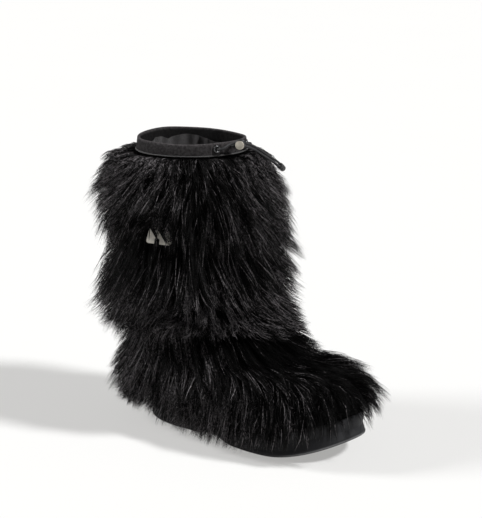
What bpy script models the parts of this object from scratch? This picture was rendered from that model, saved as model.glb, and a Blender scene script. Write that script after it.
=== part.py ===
# Tall fur boot for the right foot, as an assembly of separate pieces.
# +X points to the toe, +Y to the wearer's left, +Z up; the origin is on the floor under the heel.
# Sizes are in millimetres, and MM turns them into metres where a mesh is made.

from collections import namedtuple
from math import atan2, cos, pi, radians, sin, sqrt

import bmesh
import bpy
import numpy as np
from mathutils import Matrix, Vector

MM = 0.001

# Driving dimensions
SOLE_BACK_X = -40.0
SOLE_FRONT_X = 230.0
HEEL_HALF = 38.0
BALL_LATERAL = 55.0
BALL_MEDIAL = 51.5
WALL = 2.5
GAP = 0.3
COLLAR_HEIGHT = 14.0
CORD_DIAMETER = 2.4

# Underside of the sole: where the arch and the toe spring begin and how far they rise
ARCH_FROM_X = 42.0
ARCH_TO_X = 104.0
ARCH_RISE = 5.0
SPRING_FROM_X = 142.0
SPRING_RISE = 24.0
SPRING_POWER = 1.8

# Plan of the sole: share of its length that each end's rounding takes
OUTLINE_HEEL_ROUND = 0.24
OUTLINE_TOE_ROUND = 0.28

# Shares of the length where each side starts to widen from heel to ball, and over which it does
LATERAL_WIDENS_FROM = 0.25
LATERAL_WIDENS_OVER = 0.40
MEDIAL_WIDENS_FROM = 0.36
MEDIAL_WIDENS_OVER = 0.36

# How many corners each form has round it
UPPER_COLUMNS = 30
SOLE_COLUMNS = 48
LOCKS = 17
COLUMNS_PER_LOCK = 3
FUR_COLUMNS = LOCKS * COLUMNS_PER_LOCK

# Sections of the upper, from the feather line to the collar. Each runs round the boot in a
# plane from its back point to its front point, sagging between them where the sole is curved.
Section = namedtuple(
    "Section",
    "back_x back_z front_x front_z sag heel_half lateral_half medial_half heel_round toe_round",
)
SECTIONS = [
    Section(-36.0, 15.0, 221.0, 33.0, 14.0, 33.0, 48.5, 46.0, 0.20, 0.28),
    Section(-40.0, 27.0, 225.5, 44.5, 9.5, 36.5, 51.5, 48.5, 0.21, 0.29),
    Section(-41.5, 40.0, 221.0, 55.0, 5.0, 38.0, 51.5, 48.5, 0.22, 0.30),
    Section(-41.5, 55.0, 206.0, 64.0, 2.0, 38.5, 49.0, 46.5, 0.24, 0.32),
    Section(-40.5, 71.0, 181.0, 72.0, 0.0, 38.5, 46.5, 44.5, 0.27, 0.35),
    Section(-39.0, 88.0, 153.0, 82.0, 0.0, 39.0, 44.5, 43.0, 0.31, 0.39),
    Section(-38.5, 106.0, 127.0, 97.0, 0.0, 40.5, 44.0, 43.5, 0.36, 0.43),
    Section(-39.5, 126.0, 106.0, 119.0, 0.0, 43.5, 45.5, 45.0, 0.42, 0.47),
    Section(-42.0, 150.0, 91.0, 147.0, 0.0, 47.5, 49.0, 49.0, 0.47, 0.49),
    Section(-46.0, 185.0, 81.0, 184.0, 0.0, 53.0, 53.5, 53.5, 0.50, 0.50),
    Section(-50.0, 220.0, 77.0, 221.0, 0.0, 57.5, 57.5, 57.5, 0.50, 0.50),
    Section(-51.5, 250.0, 75.5, 250.0, 0.0, 60.5, 60.5, 60.5, 0.50, 0.50),
    Section(-50.0, 278.0, 74.0, 278.0, 0.0, 60.0, 60.0, 60.0, 0.50, 0.50),
    Section(-45.5, 299.0, 69.5, 299.0, 0.0, 57.5, 57.5, 57.5, 0.50, 0.50),
]
SAG_POWER = 1.5
COLLAR_RING = len(SECTIONS) - 1
COLLAR_BASE_Z = SECTIONS[-1].back_z
COLLAR_TOP_Z = COLLAR_BASE_Z + COLLAR_HEIGHT
COLLAR_CENTRE_X = (SECTIONS[-1].back_x + SECTIONS[-1].front_x) / 2
COLLAR_RADIUS = SECTIONS[-1].heel_half
UPPER_RINGS = [k / 2 for k in range(18)] + [9, 10, 11, 12, 12.5, 13]
# Rings within which the wall's normal turns level, at the sole and at the collar
LEVEL_AT_SOLE = 2.0
LEVEL_AT_COLLAR = 0.5

# Side of the outsole from the floor up: how far it stands in from the outline, and its height
SideStep = namedtuple("SideStep", "inset rise")
SOLE_SIDE = [
    SideStep(2.6, 0.0),
    SideStep(0.7, 0.8),
    SideStep(0.0, 2.2),
    SideStep(0.0, 4.4),
    SideStep(1.5, 5.2),
]
SOLE_WALL_INSET = 1.8

# Grooves that part the lugs: the heel's and the forefoot's first place, pitch and number
GROOVES = [(-27.0, 18.0, 4), (112.0, 16.0, 6)]
GROOVE_WIDTH = 6.0
GROOVE_DEPTH = 3.5
LUG_MARGIN = 9.0

# Rubber rand: rings of the upper that it covers, and its thickness there
RandStep = namedtuple("RandStep", "ring thickness")
RAND = [RandStep(0.0, 3.2), RandStep(0.5, 2.8), RandStep(1.0, 2.4), RandStep(1.25, 1.6)]
BUMPER_EXTRA = 2.4
BUMPER_FROM = 0.72

# Footbed
INSOLE_INSET = 4.2
INSOLE_THICKNESS = 4.5

# Collar band in section: stand-off from the upper's face, and share of the band's height
BandStep = namedtuple("BandStep", "stand_off rise")
BAND = [
    BandStep(-2.9, 0.0),
    BandStep(0.4, 0.0),
    BandStep(0.7, 0.5),
    BandStep(0.3, 0.9),
    BandStep(-0.7, 1.0),
    BandStep(-1.9, 1.0),
    BandStep(-2.9, 0.9),
    BandStep(-3.1, 0.5),
]
PIPING_RADIUS = 1.1
PIPING_RISE = 1.9
PIPING_SIDES = 6

# Fur tiers, each a closed section from its top root over the outside to the hem and back along
# the wall: ring of the upper, stand-off at the back and at the front, extra at a lock's ridge,
# and how far down, in rings, a lock draws that place out.
Pile = namedtuple("Pile", "ring back front ridge reach")
FUR_TOP = [
    Pile(12.93, 0.6, 0.6, 0.0, 0.0),
    Pile(12.84, 11.0, 10.0, 0.0, 0.0),
    Pile(12.66, 24.0, 21.0, 1.0, 0.0),
    Pile(12.25, 35.0, 29.0, 2.0, 0.0),
    Pile(11.60, 41.0, 34.0, 4.0, 0.0),
    Pile(11.05, 40.0, 37.0, 6.0, 0.15),
    Pile(10.90, 36.0, 35.0, 3.0, 0.0),
    Pile(10.20, 32.0, 40.0, 5.0, 0.1),
    Pile(9.80, 30.0, 42.0, 5.0, 0.25),
    Pile(9.48, 29.0, 42.0, 2.0, 0.45),
    Pile(9.85, 21.0, 30.0, 0.0, 0.0),
    Pile(10.28, 10.0, 12.0, 0.0, 0.0),
    Pile(10.45, 0.6, 0.6, 0.0, 0.0),
    Pile(11.00, 0.6, 0.6, 0.0, 0.0),
    Pile(12.00, 0.6, 0.6, 0.0, 0.0),
    Pile(12.50, 0.6, 0.6, 0.0, 0.0),
]
FUR_MIDDLE = [
    Pile(10.36, 0.7, 0.7, 0.0, 0.0),
    Pile(10.12, 7.0, 8.0, 0.0, 0.0),
    Pile(9.70, 14.0, 18.0, 0.0, 0.0),
    Pile(9.30, 20.0, 27.0, 0.0, 0.0),
    Pile(9.00, 25.0, 35.0, 1.0, 0.0),
    Pile(8.75, 33.0, 43.0, 3.0, 0.0),
    Pile(8.45, 39.0, 46.0, 5.0, 0.15),
    Pile(8.30, 36.0, 42.0, 3.0, 0.0),
    Pile(7.70, 37.0, 34.0, 5.0, 0.1),
    Pile(7.10, 35.0, 30.0, 5.0, 0.25),
    Pile(6.45, 30.0, 27.0, 2.0, 0.6),
    Pile(6.85, 21.0, 19.0, 0.0, 0.0),
    Pile(7.10, 9.0, 9.0, 0.0, 0.0),
    Pile(7.22, 0.7, 0.7, 0.0, 0.0),
    Pile(7.50, 0.7, 0.7, 0.0, 0.0),
    Pile(8.00, 0.7, 0.7, 0.0, 0.0),
    Pile(8.50, 0.7, 0.7, 0.0, 0.0),
    Pile(9.00, 0.7, 0.7, 0.0, 0.0),
    Pile(10.00, 0.7, 0.7, 0.0, 0.0),
]
FUR_FOOT = [
    Pile(7.10, 0.8, 0.8, 0.0, 0.0),
    Pile(6.90, 7.0, 7.0, 0.0, 0.0),
    Pile(6.55, 14.0, 14.0, 0.0, 0.0),
    Pile(6.10, 20.0, 19.0, 0.0, 0.0),
    Pile(5.50, 25.0, 23.0, 2.0, 0.0),
    Pile(4.70, 28.0, 26.0, 5.0, 0.15),
    Pile(4.50, 25.0, 24.0, 2.0, 0.0),
    Pile(3.80, 27.0, 27.0, 5.0, 0.1),
    Pile(2.90, 30.0, 29.0, 6.0, 0.2),
    Pile(2.60, 26.0, 27.0, 3.0, 0.0),
    Pile(2.00, 24.0, 27.0, 5.0, 0.25),
    Pile(1.65, 19.0, 24.0, 2.0, 0.5),
    Pile(1.58, 10.0, 12.0, 0.0, 0.0),
    Pile(1.50, 0.8, 0.8, 0.0, 0.0),
    Pile(2.00, 0.8, 0.8, 0.0, 0.0),
    Pile(2.50, 0.8, 0.8, 0.0, 0.0),
    Pile(3.00, 0.8, 0.8, 0.0, 0.0),
    Pile(3.50, 0.8, 0.8, 0.0, 0.0),
    Pile(4.00, 0.8, 0.8, 0.0, 0.0),
    Pile(5.00, 0.8, 0.8, 0.0, 0.0),
    Pile(6.00, 0.8, 0.8, 0.0, 0.0),
]
# Share of a lock's ridge at each of its columns, and the waves that make the locks' lengths differ
LOCK_PROFILE = [0.0, 1.0, 0.45]
LOCK_MEAN = 0.65
LOCK_WAVES = [(0.20, 2.4, 1.0), (0.15, 5.1, 2.0)]
# How many rings lower the foot's hem hangs at its sides than at heel and toe
SIDE_DROP = 1.45
SIDE_DROP_POWER = 1.2
SIDE_DROP_FROM_RING = 2.3
SIDE_DROP_OVER = 0.7
LOWEST_RING = 0.12
# Where the top tier's locks part over the plate
PARTING_TURN = 1.72
PARTING_WIDTH = 0.30

# Plain metal plate on the middle tier's shoulder
PLATE_WIDTH = 30.0
PLATE_HEIGHT = 17.0
PLATE_THICKNESS = 1.2
PLATE_CORNER = 3.0
PLATE_RING = 9.95
PLATE_STAND_OFF = 12.2
PLATE_LEAN = 26.0

# Eyelets either side of the collar's front, the cord lock and the moulded cord end
EYELET_ANGLE = 25.0
EYELET_RADIUS = 3.0
EYELET_WIRE = 0.9
EYELET_RISE = 8.2
EYELET_SIDES = 16
WIRE_SIDES = 6
TOGGLE_CENTRE = Vector((84.0, -9.5, 312.0))
TOGGLE_HEADING = 30.0
TOGGLE_RADIUS = 5.2
TOGGLE_LENGTH = 9.0
TOGGLE_EDGE = 0.9
TOGGLE_SLOT_WIDTH = 3.4
TOGGLE_SLOT_HEIGHT = 6.8
CAP_RADIUS = 4.6
CAP_THICKNESS = 1.4
CAP_EDGE = 0.5
CORD_END_CENTRE = Vector((102.6, 37.4, 283.6))
CORD_END_DROP = 33.0
CORD_END_HEADING = 93.0
CORD_END_RADIUS = 3.4
CORD_END_TAPER = 0.9
CORD_END_LENGTH = 9.5
CORD_END_EDGE = 1.0
ROUND_SIDES = 20
RIM_ANGLE = 60.0

# Route of the cords: out of the eyelet, to the cord lock and through it side by side, then on to
# the moulded end. The lanes are the cords' places above and below the lock's middle.
LANE = 1.6
CORD_START = 0.9
CORD_STRAIGHT = 5.0
LOCK_REACH = 5.6
LATERAL_APPROACH = [(74.2, -25.0, 308.8), (76.0, -18.8, 312.0)]
MEDIAL_APPROACH = [
    (74.0, 21.5, 307.4),
    (74.0, 12.0, 308.4),
    (72.6, 1.5, 309.6),
    (72.3, -6.4, 310.2),
    (73.3, -10.4, 310.3),
    (75.8, -12.3, 310.4),
]
CORD_TAIL = [(92.6, 2.6, 308.0), (95.4, 10.6, 302.6), (99.0, 18.0, 297.0), (101.8, 25.6, 291.8)]
ROUTE_STEPS = 20


def ease(x):
    x = min(max(x, 0.0), 1.0)
    return x * x * (3.0 - 2.0 * x)


def section_at(ring):
    # A smooth curve through the table's rows
    low = min(int(ring), COLLAR_RING - 1)
    f = ring - low
    rows = [SECTIONS[min(max(low + k, 0), COLLAR_RING)] for k in (-1, 0, 1, 2)]
    a, b, c, d = (np.array(row) for row in rows)
    curve = 2 * b + (c - a) * f + (2 * a - 5 * b + 4 * c - d) * f**2 + (3 * b - a - 3 * c + d) * f**3
    return Section(*(curve / 2))


def along(section, share):
    # Height of a section's plane at a share of its length, sagging towards the ball
    rise = section.back_z + (section.front_z - section.back_z) * share
    return rise - section.sag * sin(pi * share**SAG_POWER)


def ring_point(section, turn):
    # turn 0 is the back, pi the front, and the lateral side lies between them
    share = (1 - cos(turn)) / 2
    ends = 1.0
    if share < section.heel_round:
        ends *= sqrt(max(0.0, 1 - (1 - share / section.heel_round) ** 2))
    if share > 1 - section.toe_round:
        ends *= sqrt(max(0.0, 1 - ((share - 1 + section.toe_round) / section.toe_round) ** 2))
    if sin(turn) >= 0:
        widens = ease((share - LATERAL_WIDENS_FROM) / LATERAL_WIDENS_OVER)
        y = -ends * (section.heel_half + (section.lateral_half - section.heel_half) * widens)
    else:
        widens = ease((share - MEDIAL_WIDENS_FROM) / MEDIAL_WIDENS_OVER)
        y = ends * (section.heel_half + (section.medial_half - section.heel_half) * widens)
    x = section.back_x + (section.front_x - section.back_x) * share
    return Vector((x, y, along(section, share)))


def wall_point(ring, turn, stand_off=0.0, step=0.002):
    # A place on the upper's outer face, moved out along its normal
    here = ring_point(section_at(ring), turn)
    if stand_off == 0.0:
        return here
    up = ring_point(section_at(min(ring + step, COLLAR_RING)), turn)
    down = ring_point(section_at(max(ring - step, 0.0)), turn)
    ahead = ring_point(section_at(ring), turn + step)
    behind = ring_point(section_at(ring), turn - step)
    normal = (ahead - behind).cross(up - down).normalized()
    normal.z *= ease(ring / LEVEL_AT_SOLE) * ease((COLLAR_RING - ring) / LEVEL_AT_COLLAR)
    return here + normal.normalized() * stand_off


def feather_z(x):
    # Height of the upper's lower edge above the floor
    first = SECTIONS[0]
    share = (x - first.back_x) / (first.front_x - first.back_x)
    return along(first, min(max(share, 0.0), 1.0))


def sole_z(x):
    # Underside: flat heel, arch, flat forefoot and toe spring
    if ARCH_FROM_X < x < ARCH_TO_X:
        return ARCH_RISE * sin(pi * (x - ARCH_FROM_X) / (ARCH_TO_X - ARCH_FROM_X)) ** 2
    if x > SPRING_FROM_X:
        return SPRING_RISE * ((x - SPRING_FROM_X) / (SOLE_FRONT_X - SPRING_FROM_X)) ** SPRING_POWER
    return 0.0


def outline(inset):
    # The sole's plan, moved in by an inset
    return Section(
        SOLE_BACK_X + inset,
        0.0,
        SOLE_FRONT_X - inset,
        0.0,
        0.0,
        HEEL_HALF - inset,
        BALL_LATERAL - inset,
        BALL_MEDIAL - inset,
        OUTLINE_HEEL_ROUND,
        OUTLINE_TOE_ROUND,
    )


def turns(count):
    return [2 * pi * k / count for k in range(count)]


def make_material(name, colour, roughness, metallic=0.0):
    material = bpy.data.materials.new(name)
    material.use_nodes = True
    shader = material.node_tree.nodes["Principled BSDF"]
    shader.inputs["Base Color"].default_value = (*colour, 1.0)
    shader.inputs["Roughness"].default_value = roughness
    shader.inputs["Metallic"].default_value = metallic
    return material


def add_object(name, bm, material, smooth_angle=40.0):
    # Turns a bmesh in millimetres into a named object in metres
    bmesh.ops.recalc_face_normals(bm, faces=bm.faces[:])
    bmesh.ops.scale(bm, vec=(MM, MM, MM), verts=bm.verts[:])
    mesh = bpy.data.meshes.new(name)
    bm.to_mesh(mesh)
    bm.free()
    mesh.shade_smooth()
    mesh.set_sharp_from_angle(angle=radians(smooth_angle))
    mesh.materials.append(material)
    obj = bpy.data.objects.new(name, mesh)
    bpy.context.collection.objects.link(obj)
    return obj


def ring_solid(name, loops, material):
    # A closed body from one closed section for each column round the boot
    bm = bmesh.new()
    columns = [[bm.verts.new(point) for point in loop] for loop in loops]
    rows = len(loops[0])
    for k, column in enumerate(columns):
        beside = columns[(k + 1) % len(columns)]
        for m in range(rows):
            n = (m + 1) % rows
            bm.faces.new((column[m], beside[m], beside[n], column[n]))
    return add_object(name, bm, material)


def plate_bmesh(levels):
    # A body from outlines at rising levels, closed below and above by strips across the foot
    bm = bmesh.new()
    rings = [[bm.verts.new(point) for point in level] for level in levels]
    count = len(levels[0])
    for lower, upper in zip(rings, rings[1:]):
        for k in range(count):
            n = (k + 1) % count
            bm.faces.new((lower[k], lower[n], upper[n], upper[k]))
    for ring in (rings[0], rings[-1]):
        bm.faces.new((ring[0], ring[1], ring[-1]))
        for k in range(1, count // 2 - 1):
            bm.faces.new((ring[k], ring[k + 1], ring[-k - 1], ring[-k]))
        middle = count // 2
        bm.faces.new((ring[middle - 1], ring[middle], ring[middle + 1]))
    return bm


def cut(obj, bm, name):
    cutter = add_object(name, bm, obj.data.materials[0])
    cutter.hide_render = True
    cutter.display_type = "WIRE"
    modifier = obj.modifiers.new(name, "BOOLEAN")
    modifier.operation = "DIFFERENCE"
    modifier.solver = "EXACT"
    modifier.object = cutter


def make_outsole(material):
    levels = []
    for step in SOLE_SIDE:
        points = [ring_point(outline(step.inset), turn) for turn in turns(SOLE_COLUMNS)]
        levels.append([Vector((p.x, p.y, sole_z(p.x) + step.rise)) for p in points])
    points = [ring_point(outline(SOLE_WALL_INSET), turn) for turn in turns(SOLE_COLUMNS)]
    levels.append([Vector((p.x, p.y, feather_z(p.x) - GAP)) for p in points])
    sole = add_object("outsole", plate_bmesh(levels), material, 30.0)
    grooves = bmesh.new()
    for first, pitch, number in GROOVES:
        for k in range(number):
            x = first + pitch * k
            turn = 2 * atan2(sqrt(x - SOLE_BACK_X), sqrt(SOLE_FRONT_X - x))
            lateral = ring_point(outline(LUG_MARGIN), turn).y
            medial = ring_point(outline(LUG_MARGIN), -turn).y
            top = sole_z(x) + GROOVE_DEPTH
            size = (GROOVE_WIDTH, medial - lateral, top + GROOVE_DEPTH)
            place = Matrix.Translation((x, (medial + lateral) / 2, (top - GROOVE_DEPTH) / 2))
            bmesh.ops.create_cube(grooves, size=1.0, matrix=place @ Matrix.Diagonal((*size, 1.0)))
    cut(sole, grooves, "lug_grooves")


def make_insole(material):
    section = SECTIONS[0]._replace(
        back_x=SECTIONS[0].back_x + INSOLE_INSET,
        front_x=SECTIONS[0].front_x - INSOLE_INSET,
        heel_half=SECTIONS[0].heel_half - INSOLE_INSET,
        lateral_half=SECTIONS[0].lateral_half - INSOLE_INSET,
        medial_half=SECTIONS[0].medial_half - INSOLE_INSET,
    )
    plan = [ring_point(section, turn) for turn in turns(UPPER_COLUMNS)]
    levels = [
        [Vector((p.x, p.y, feather_z(p.x) + rise)) for p in plan] for rise in (0.0, INSOLE_THICKNESS)
    ]
    add_object("insole", plate_bmesh(levels), material, 30.0)


def make_upper(material):
    loops = []
    for turn in turns(UPPER_COLUMNS):
        outside = [wall_point(ring, turn) for ring in UPPER_RINGS]
        inside = [wall_point(ring, turn, -WALL) for ring in reversed(UPPER_RINGS)]
        loops.append(outside + inside)
    ring_solid("upper", loops, material)


def make_rand(material):
    loops = []
    for turn in turns(UPPER_COLUMNS):
        share = (1 - cos(turn)) / 2
        bumper = 1 + (BUMPER_EXTRA / RAND[0].thickness) * ease((share - BUMPER_FROM) / (1 - BUMPER_FROM))
        outside = [wall_point(step.ring, turn, GAP + step.thickness * bumper) for step in RAND]
        inside = [wall_point(step.ring, turn, GAP) for step in reversed(RAND)]
        for foot in (outside[0], inside[-1]):
            foot.z = feather_z(foot.x) + GAP
        loops.append(outside + inside)
    ring_solid("rand", loops, material)


def collar_point(turn, stand_off, z):
    point = wall_point(COLLAR_RING, turn, stand_off)
    return Vector((point.x, point.y, z))


def make_collar(material, piping_material):
    base = COLLAR_BASE_Z + GAP
    height = COLLAR_TOP_Z - base
    loops = [
        [collar_point(turn, step.stand_off, base + height * step.rise) for step in BAND]
        for turn in turns(UPPER_COLUMNS)
    ]
    ring_solid("collar_band", loops, material)
    stand_off = BAND[2].stand_off + GAP + PIPING_RADIUS
    loops = []
    for turn in turns(UPPER_COLUMNS):
        loop = []
        for angle in turns(PIPING_SIDES):
            out = stand_off + PIPING_RADIUS * cos(angle)
            loop.append(collar_point(turn, out, base + PIPING_RISE + PIPING_RADIUS * sin(angle)))
        loops.append(loop)
    ring_solid("collar_piping", loops, piping_material)


def lock_length(index, tier):
    # Locks differ in length by a fixed rule, between about 0.3 and 1
    return LOCK_MEAN + sum(size * sin(pace * index + shift * tier) for size, pace, shift in LOCK_WAVES)


def make_fur(name, piles, tier, material):
    loops = []
    for column, turn in enumerate(turns(FUR_COLUMNS)):
        lock = LOCK_PROFILE[column % COLUMNS_PER_LOCK]
        length = lock_length(column // COLUMNS_PER_LOCK, tier) * lock
        share = (1 - cos(turn)) / 2
        loop = []
        for pile in piles:
            reach = pile.reach * length
            if piles is FUR_TOP and abs(turn - PARTING_TURN) < PARTING_WIDTH:
                reach = -pile.reach
            ring = pile.ring - reach
            if piles is FUR_FOOT and pile.ridge > 0:
                hem = ease((SIDE_DROP_FROM_RING - pile.ring) / SIDE_DROP_OVER)
                ring -= SIDE_DROP * abs(sin(turn)) ** SIDE_DROP_POWER * hem
            stand_off = pile.back + (pile.front - pile.back) * share + pile.ridge * lock
            loop.append(wall_point(max(ring, LOWEST_RING), turn, stand_off))
        loops.append(loop)
    ring_solid(name, loops, material)


def facing(centre, heading, drop=0.0):
    # A frame whose Z axis points along a level heading from +X, turned down by a drop
    direction = Vector((cos(radians(heading)), sin(radians(heading)), 0.0)) * cos(radians(drop))
    direction.z = -sin(radians(drop))
    side = Vector((0.0, 0.0, 1.0)).cross(direction).normalized()
    up = direction.cross(side)
    turned = Matrix((side, up, direction)).transposed().to_4x4()
    return Matrix.Translation(centre) @ turned


def make_plate(material):
    place = wall_point(PLATE_RING, PARTING_TURN, PLATE_STAND_OFF)
    outward = place - wall_point(PLATE_RING, PARTING_TURN)
    heading = np.degrees(atan2(outward.y, outward.x))
    bm = bmesh.new()
    size = (PLATE_WIDTH, PLATE_HEIGHT, PLATE_THICKNESS, 1.0)
    bmesh.ops.create_cube(bm, size=1.0, matrix=Matrix.Diagonal(size))
    corners = [e for e in bm.edges if abs((e.verts[0].co - e.verts[1].co).z) > PLATE_THICKNESS / 2]
    bmesh.ops.bevel(
        bm, geom=corners, offset=PLATE_CORNER, segments=3, profile=0.5, affect="EDGES", material=-1
    )
    bmesh.ops.transform(bm, matrix=facing(place, heading, -PLATE_LEAN), verts=bm.verts[:])
    add_object("side_plate", bm, material)


def collar_frame(angle):
    # On the band's face at an angle from the front, with Z pointing out
    direction = Vector((cos(radians(angle)), sin(radians(angle)), 0.0))
    face = COLLAR_RADIUS + BAND[2].stand_off
    centre = Vector((COLLAR_CENTRE_X, 0.0, COLLAR_BASE_Z + EYELET_RISE)) + direction * face
    return facing(centre, angle)


def make_eyelet(name, angle, material):
    frame = collar_frame(angle) @ Matrix.Translation((0.0, 0.0, GAP + EYELET_WIRE))
    loops = []
    for turn in turns(EYELET_SIDES):
        loop = []
        for angle_in_wire in turns(WIRE_SIDES):
            radius = EYELET_RADIUS + EYELET_WIRE * cos(angle_in_wire)
            point = Vector((radius * cos(turn), radius * sin(turn), EYELET_WIRE * sin(angle_in_wire)))
            loop.append(frame @ point)
        loops.append(loop)
    ring_solid(name, loops, material)


def round_piece(frame, foot_radius, top_radius, length, edge):
    # A turned piece with rounded rims, centred on a frame and lying along its Z axis
    bm = bmesh.new()
    bmesh.ops.create_cone(
        bm,
        cap_ends=True,
        segments=ROUND_SIDES,
        radius1=foot_radius,
        radius2=top_radius,
        depth=length,
        matrix=frame,
    )
    rims = [e for e in bm.edges if e.calc_face_angle() > radians(RIM_ANGLE)]
    bmesh.ops.bevel(bm, geom=rims, offset=edge, segments=2, profile=0.5, affect="EDGES", material=-1)
    return bm


def make_toggle(barrel_material, cap_material):
    # The barrel lies across the cords, with its cap towards the lateral side
    frame = facing(TOGGLE_CENTRE, TOGGLE_HEADING - 90.0)
    bm = round_piece(frame, TOGGLE_RADIUS, TOGGLE_RADIUS, TOGGLE_LENGTH, TOGGLE_EDGE)
    barrel = add_object("toggle_barrel", bm, barrel_material)
    slot = bmesh.new()
    size = (4 * TOGGLE_RADIUS, TOGGLE_SLOT_HEIGHT, TOGGLE_SLOT_WIDTH, 1.0)
    bmesh.ops.create_cube(slot, size=1.0, matrix=frame @ Matrix.Diagonal(size))
    cut(barrel, slot, "toggle_slot")
    rise = TOGGLE_LENGTH / 2 + GAP + CAP_THICKNESS / 2
    frame = frame @ Matrix.Translation((0.0, 0.0, rise))
    bm = round_piece(frame, CAP_RADIUS, CAP_RADIUS, CAP_THICKNESS, CAP_EDGE)
    add_object("toggle_cap", bm, cap_material)


def make_cord_end(material):
    frame = facing(CORD_END_CENTRE, CORD_END_HEADING, CORD_END_DROP)
    tip_radius = CORD_END_RADIUS * CORD_END_TAPER
    bm = round_piece(frame, CORD_END_RADIUS, tip_radius, CORD_END_LENGTH, CORD_END_EDGE)
    add_object("cord_end", bm, material)


def smooth_route(points, spacing):
    # Evenly spaced places on a smooth curve through the route's own points
    ends = [points[0] * 2 - points[1], *points, points[-1] * 2 - points[-2]]
    fine = []
    for a, b, c, d in zip(ends, ends[1:], ends[2:], ends[3:]):
        for k in range(ROUTE_STEPS):
            f = k / ROUTE_STEPS
            curve = b * 2 + (c - a) * f + (a * 2 - b * 5 + c * 4 - d) * f**2
            fine.append((curve + (b * 3 - a - c * 3 + d) * f**3) / 2)
    fine.append(points[-1])
    lengths = np.concatenate([[0.0], np.cumsum([(q - p).length for p, q in zip(fine, fine[1:])])])
    wanted = np.linspace(0.0, lengths[-1], max(2, round(lengths[-1] / spacing)) + 1)
    columns = [np.interp(wanted, lengths, [p[axis] for p in fine]) for axis in range(3)]
    return [Vector(point) for point in zip(*columns)]


def cord_route(side):
    # side -1 is the lateral cord, in the upper lane of the lock, and 1 the medial one
    lane = -side * LANE
    eyelet = collar_frame(side * EYELET_ANGLE)
    lock = facing(TOGGLE_CENTRE, TOGGLE_HEADING)
    end = facing(CORD_END_CENTRE, CORD_END_HEADING, CORD_END_DROP)
    face = -CORD_END_LENGTH / 2 - 1.5 * GAP
    approach = LATERAL_APPROACH if side < 0 else MEDIAL_APPROACH
    return [
        eyelet @ Vector((0.0, 0.0, CORD_START)),
        eyelet @ Vector((0.0, 0.0, CORD_STRAIGHT)),
        *(Vector(point) for point in approach),
        *(lock @ Vector((0.0, lane, reach)) for reach in (-LOCK_REACH, 0.0, LOCK_REACH)),
        *(Vector(point) + Vector((0.0, 0.0, lane)) for point in CORD_TAIL),
        end @ Vector((0.0, lane, face - CORD_STRAIGHT)),
        end @ Vector((0.0, lane, face)),
    ]


def make_cord(name, side, material):
    points = smooth_route(cord_route(side), 2 * CORD_DIAMETER)
    curve = bpy.data.curves.new(name, "CURVE")
    curve.dimensions = "3D"
    curve.bevel_depth = CORD_DIAMETER / 2 * MM
    curve.bevel_resolution = 2
    curve.use_fill_caps = True
    spline = curve.splines.new("POLY")
    spline.points.add(len(points) - 1)
    for place, point in zip(spline.points, points):
        place.co = (*(point * MM), 1.0)
    curve.materials.append(material)
    bpy.context.collection.objects.link(bpy.data.objects.new(name, curve))


def main():
    for obj in list(bpy.data.objects):
        bpy.data.objects.remove(obj)
    rubber = make_material("black_rubber", (0.022, 0.024, 0.030), 0.62)
    felt = make_material("insole_felt", (0.050, 0.048, 0.046), 0.95)
    cloth = make_material("black_cloth", (0.018, 0.018, 0.020), 0.85)
    fur = make_material("black_fur", (0.012, 0.012, 0.013), 0.45)
    piping = make_material("grey_piping", (0.060, 0.058, 0.055), 0.60)
    steel = make_material("bright_steel", (0.62, 0.62, 0.62), 0.25, 1.0)
    pale = make_material("pale_metal", (0.70, 0.64, 0.54), 0.35, 1.0)
    cord = make_material("black_cord", (0.015, 0.015, 0.016), 0.70)
    plastic = make_material("black_plastic", (0.018, 0.018, 0.018), 0.40)
    make_outsole(rubber)
    make_rand(rubber)
    make_insole(felt)
    make_upper(cloth)
    make_collar(cloth, piping)
    make_fur("fur_top", FUR_TOP, 0, fur)
    make_fur("fur_middle", FUR_MIDDLE, 1, fur)
    make_fur("fur_foot", FUR_FOOT, 2, fur)
    make_plate(pale)
    make_eyelet("eyelet_lateral", -EYELET_ANGLE, steel)
    make_eyelet("eyelet_medial", EYELET_ANGLE, steel)
    make_toggle(plastic, pale)
    make_cord_end(plastic)
    make_cord("drawcord_lateral", -1, cord)
    make_cord("drawcord_medial", 1, cord)


main()
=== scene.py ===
import math

import bmesh
import bpy
import numpy as np
from mathutils import Matrix, Vector


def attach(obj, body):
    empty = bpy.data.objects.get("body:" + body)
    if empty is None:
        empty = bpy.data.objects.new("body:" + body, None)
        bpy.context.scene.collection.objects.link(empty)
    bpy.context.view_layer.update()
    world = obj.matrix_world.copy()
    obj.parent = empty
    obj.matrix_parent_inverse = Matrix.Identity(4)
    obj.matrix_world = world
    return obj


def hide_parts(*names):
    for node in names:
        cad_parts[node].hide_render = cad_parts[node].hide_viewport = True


for startupName in ("Cube", "Light", "Camera"):
    if startupName in bpy.data.objects:
        bpy.data.objects.remove(bpy.data.objects[startupName])
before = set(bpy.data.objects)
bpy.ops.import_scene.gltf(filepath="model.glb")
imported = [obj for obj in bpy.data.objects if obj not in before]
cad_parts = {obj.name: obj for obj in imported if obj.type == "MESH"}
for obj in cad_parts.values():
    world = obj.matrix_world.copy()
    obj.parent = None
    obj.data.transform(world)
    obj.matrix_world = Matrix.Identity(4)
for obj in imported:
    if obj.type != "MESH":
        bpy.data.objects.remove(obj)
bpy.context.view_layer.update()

mm = 0.001  # sizes below are in millimetres unless a note says otherwise
gap = 0.3

# camera, at the angle the boot was seen from
cameraSet = {
    "azimuth": 38.0,
    "elevation": 14.6,
    "distance": 1.75,  # metres
    "focal": 1645.0,  # pixels
    "image": (482, 518),
    "aimAt": (0.060, 0.0, 0.150),  # metres
    "aimPixel": (227.8, 291.6),
    "sensor": 36.0,
}


def levelHeading(angle):
    return Vector((math.cos(math.radians(angle)), math.sin(math.radians(angle)), 0.0))


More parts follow.
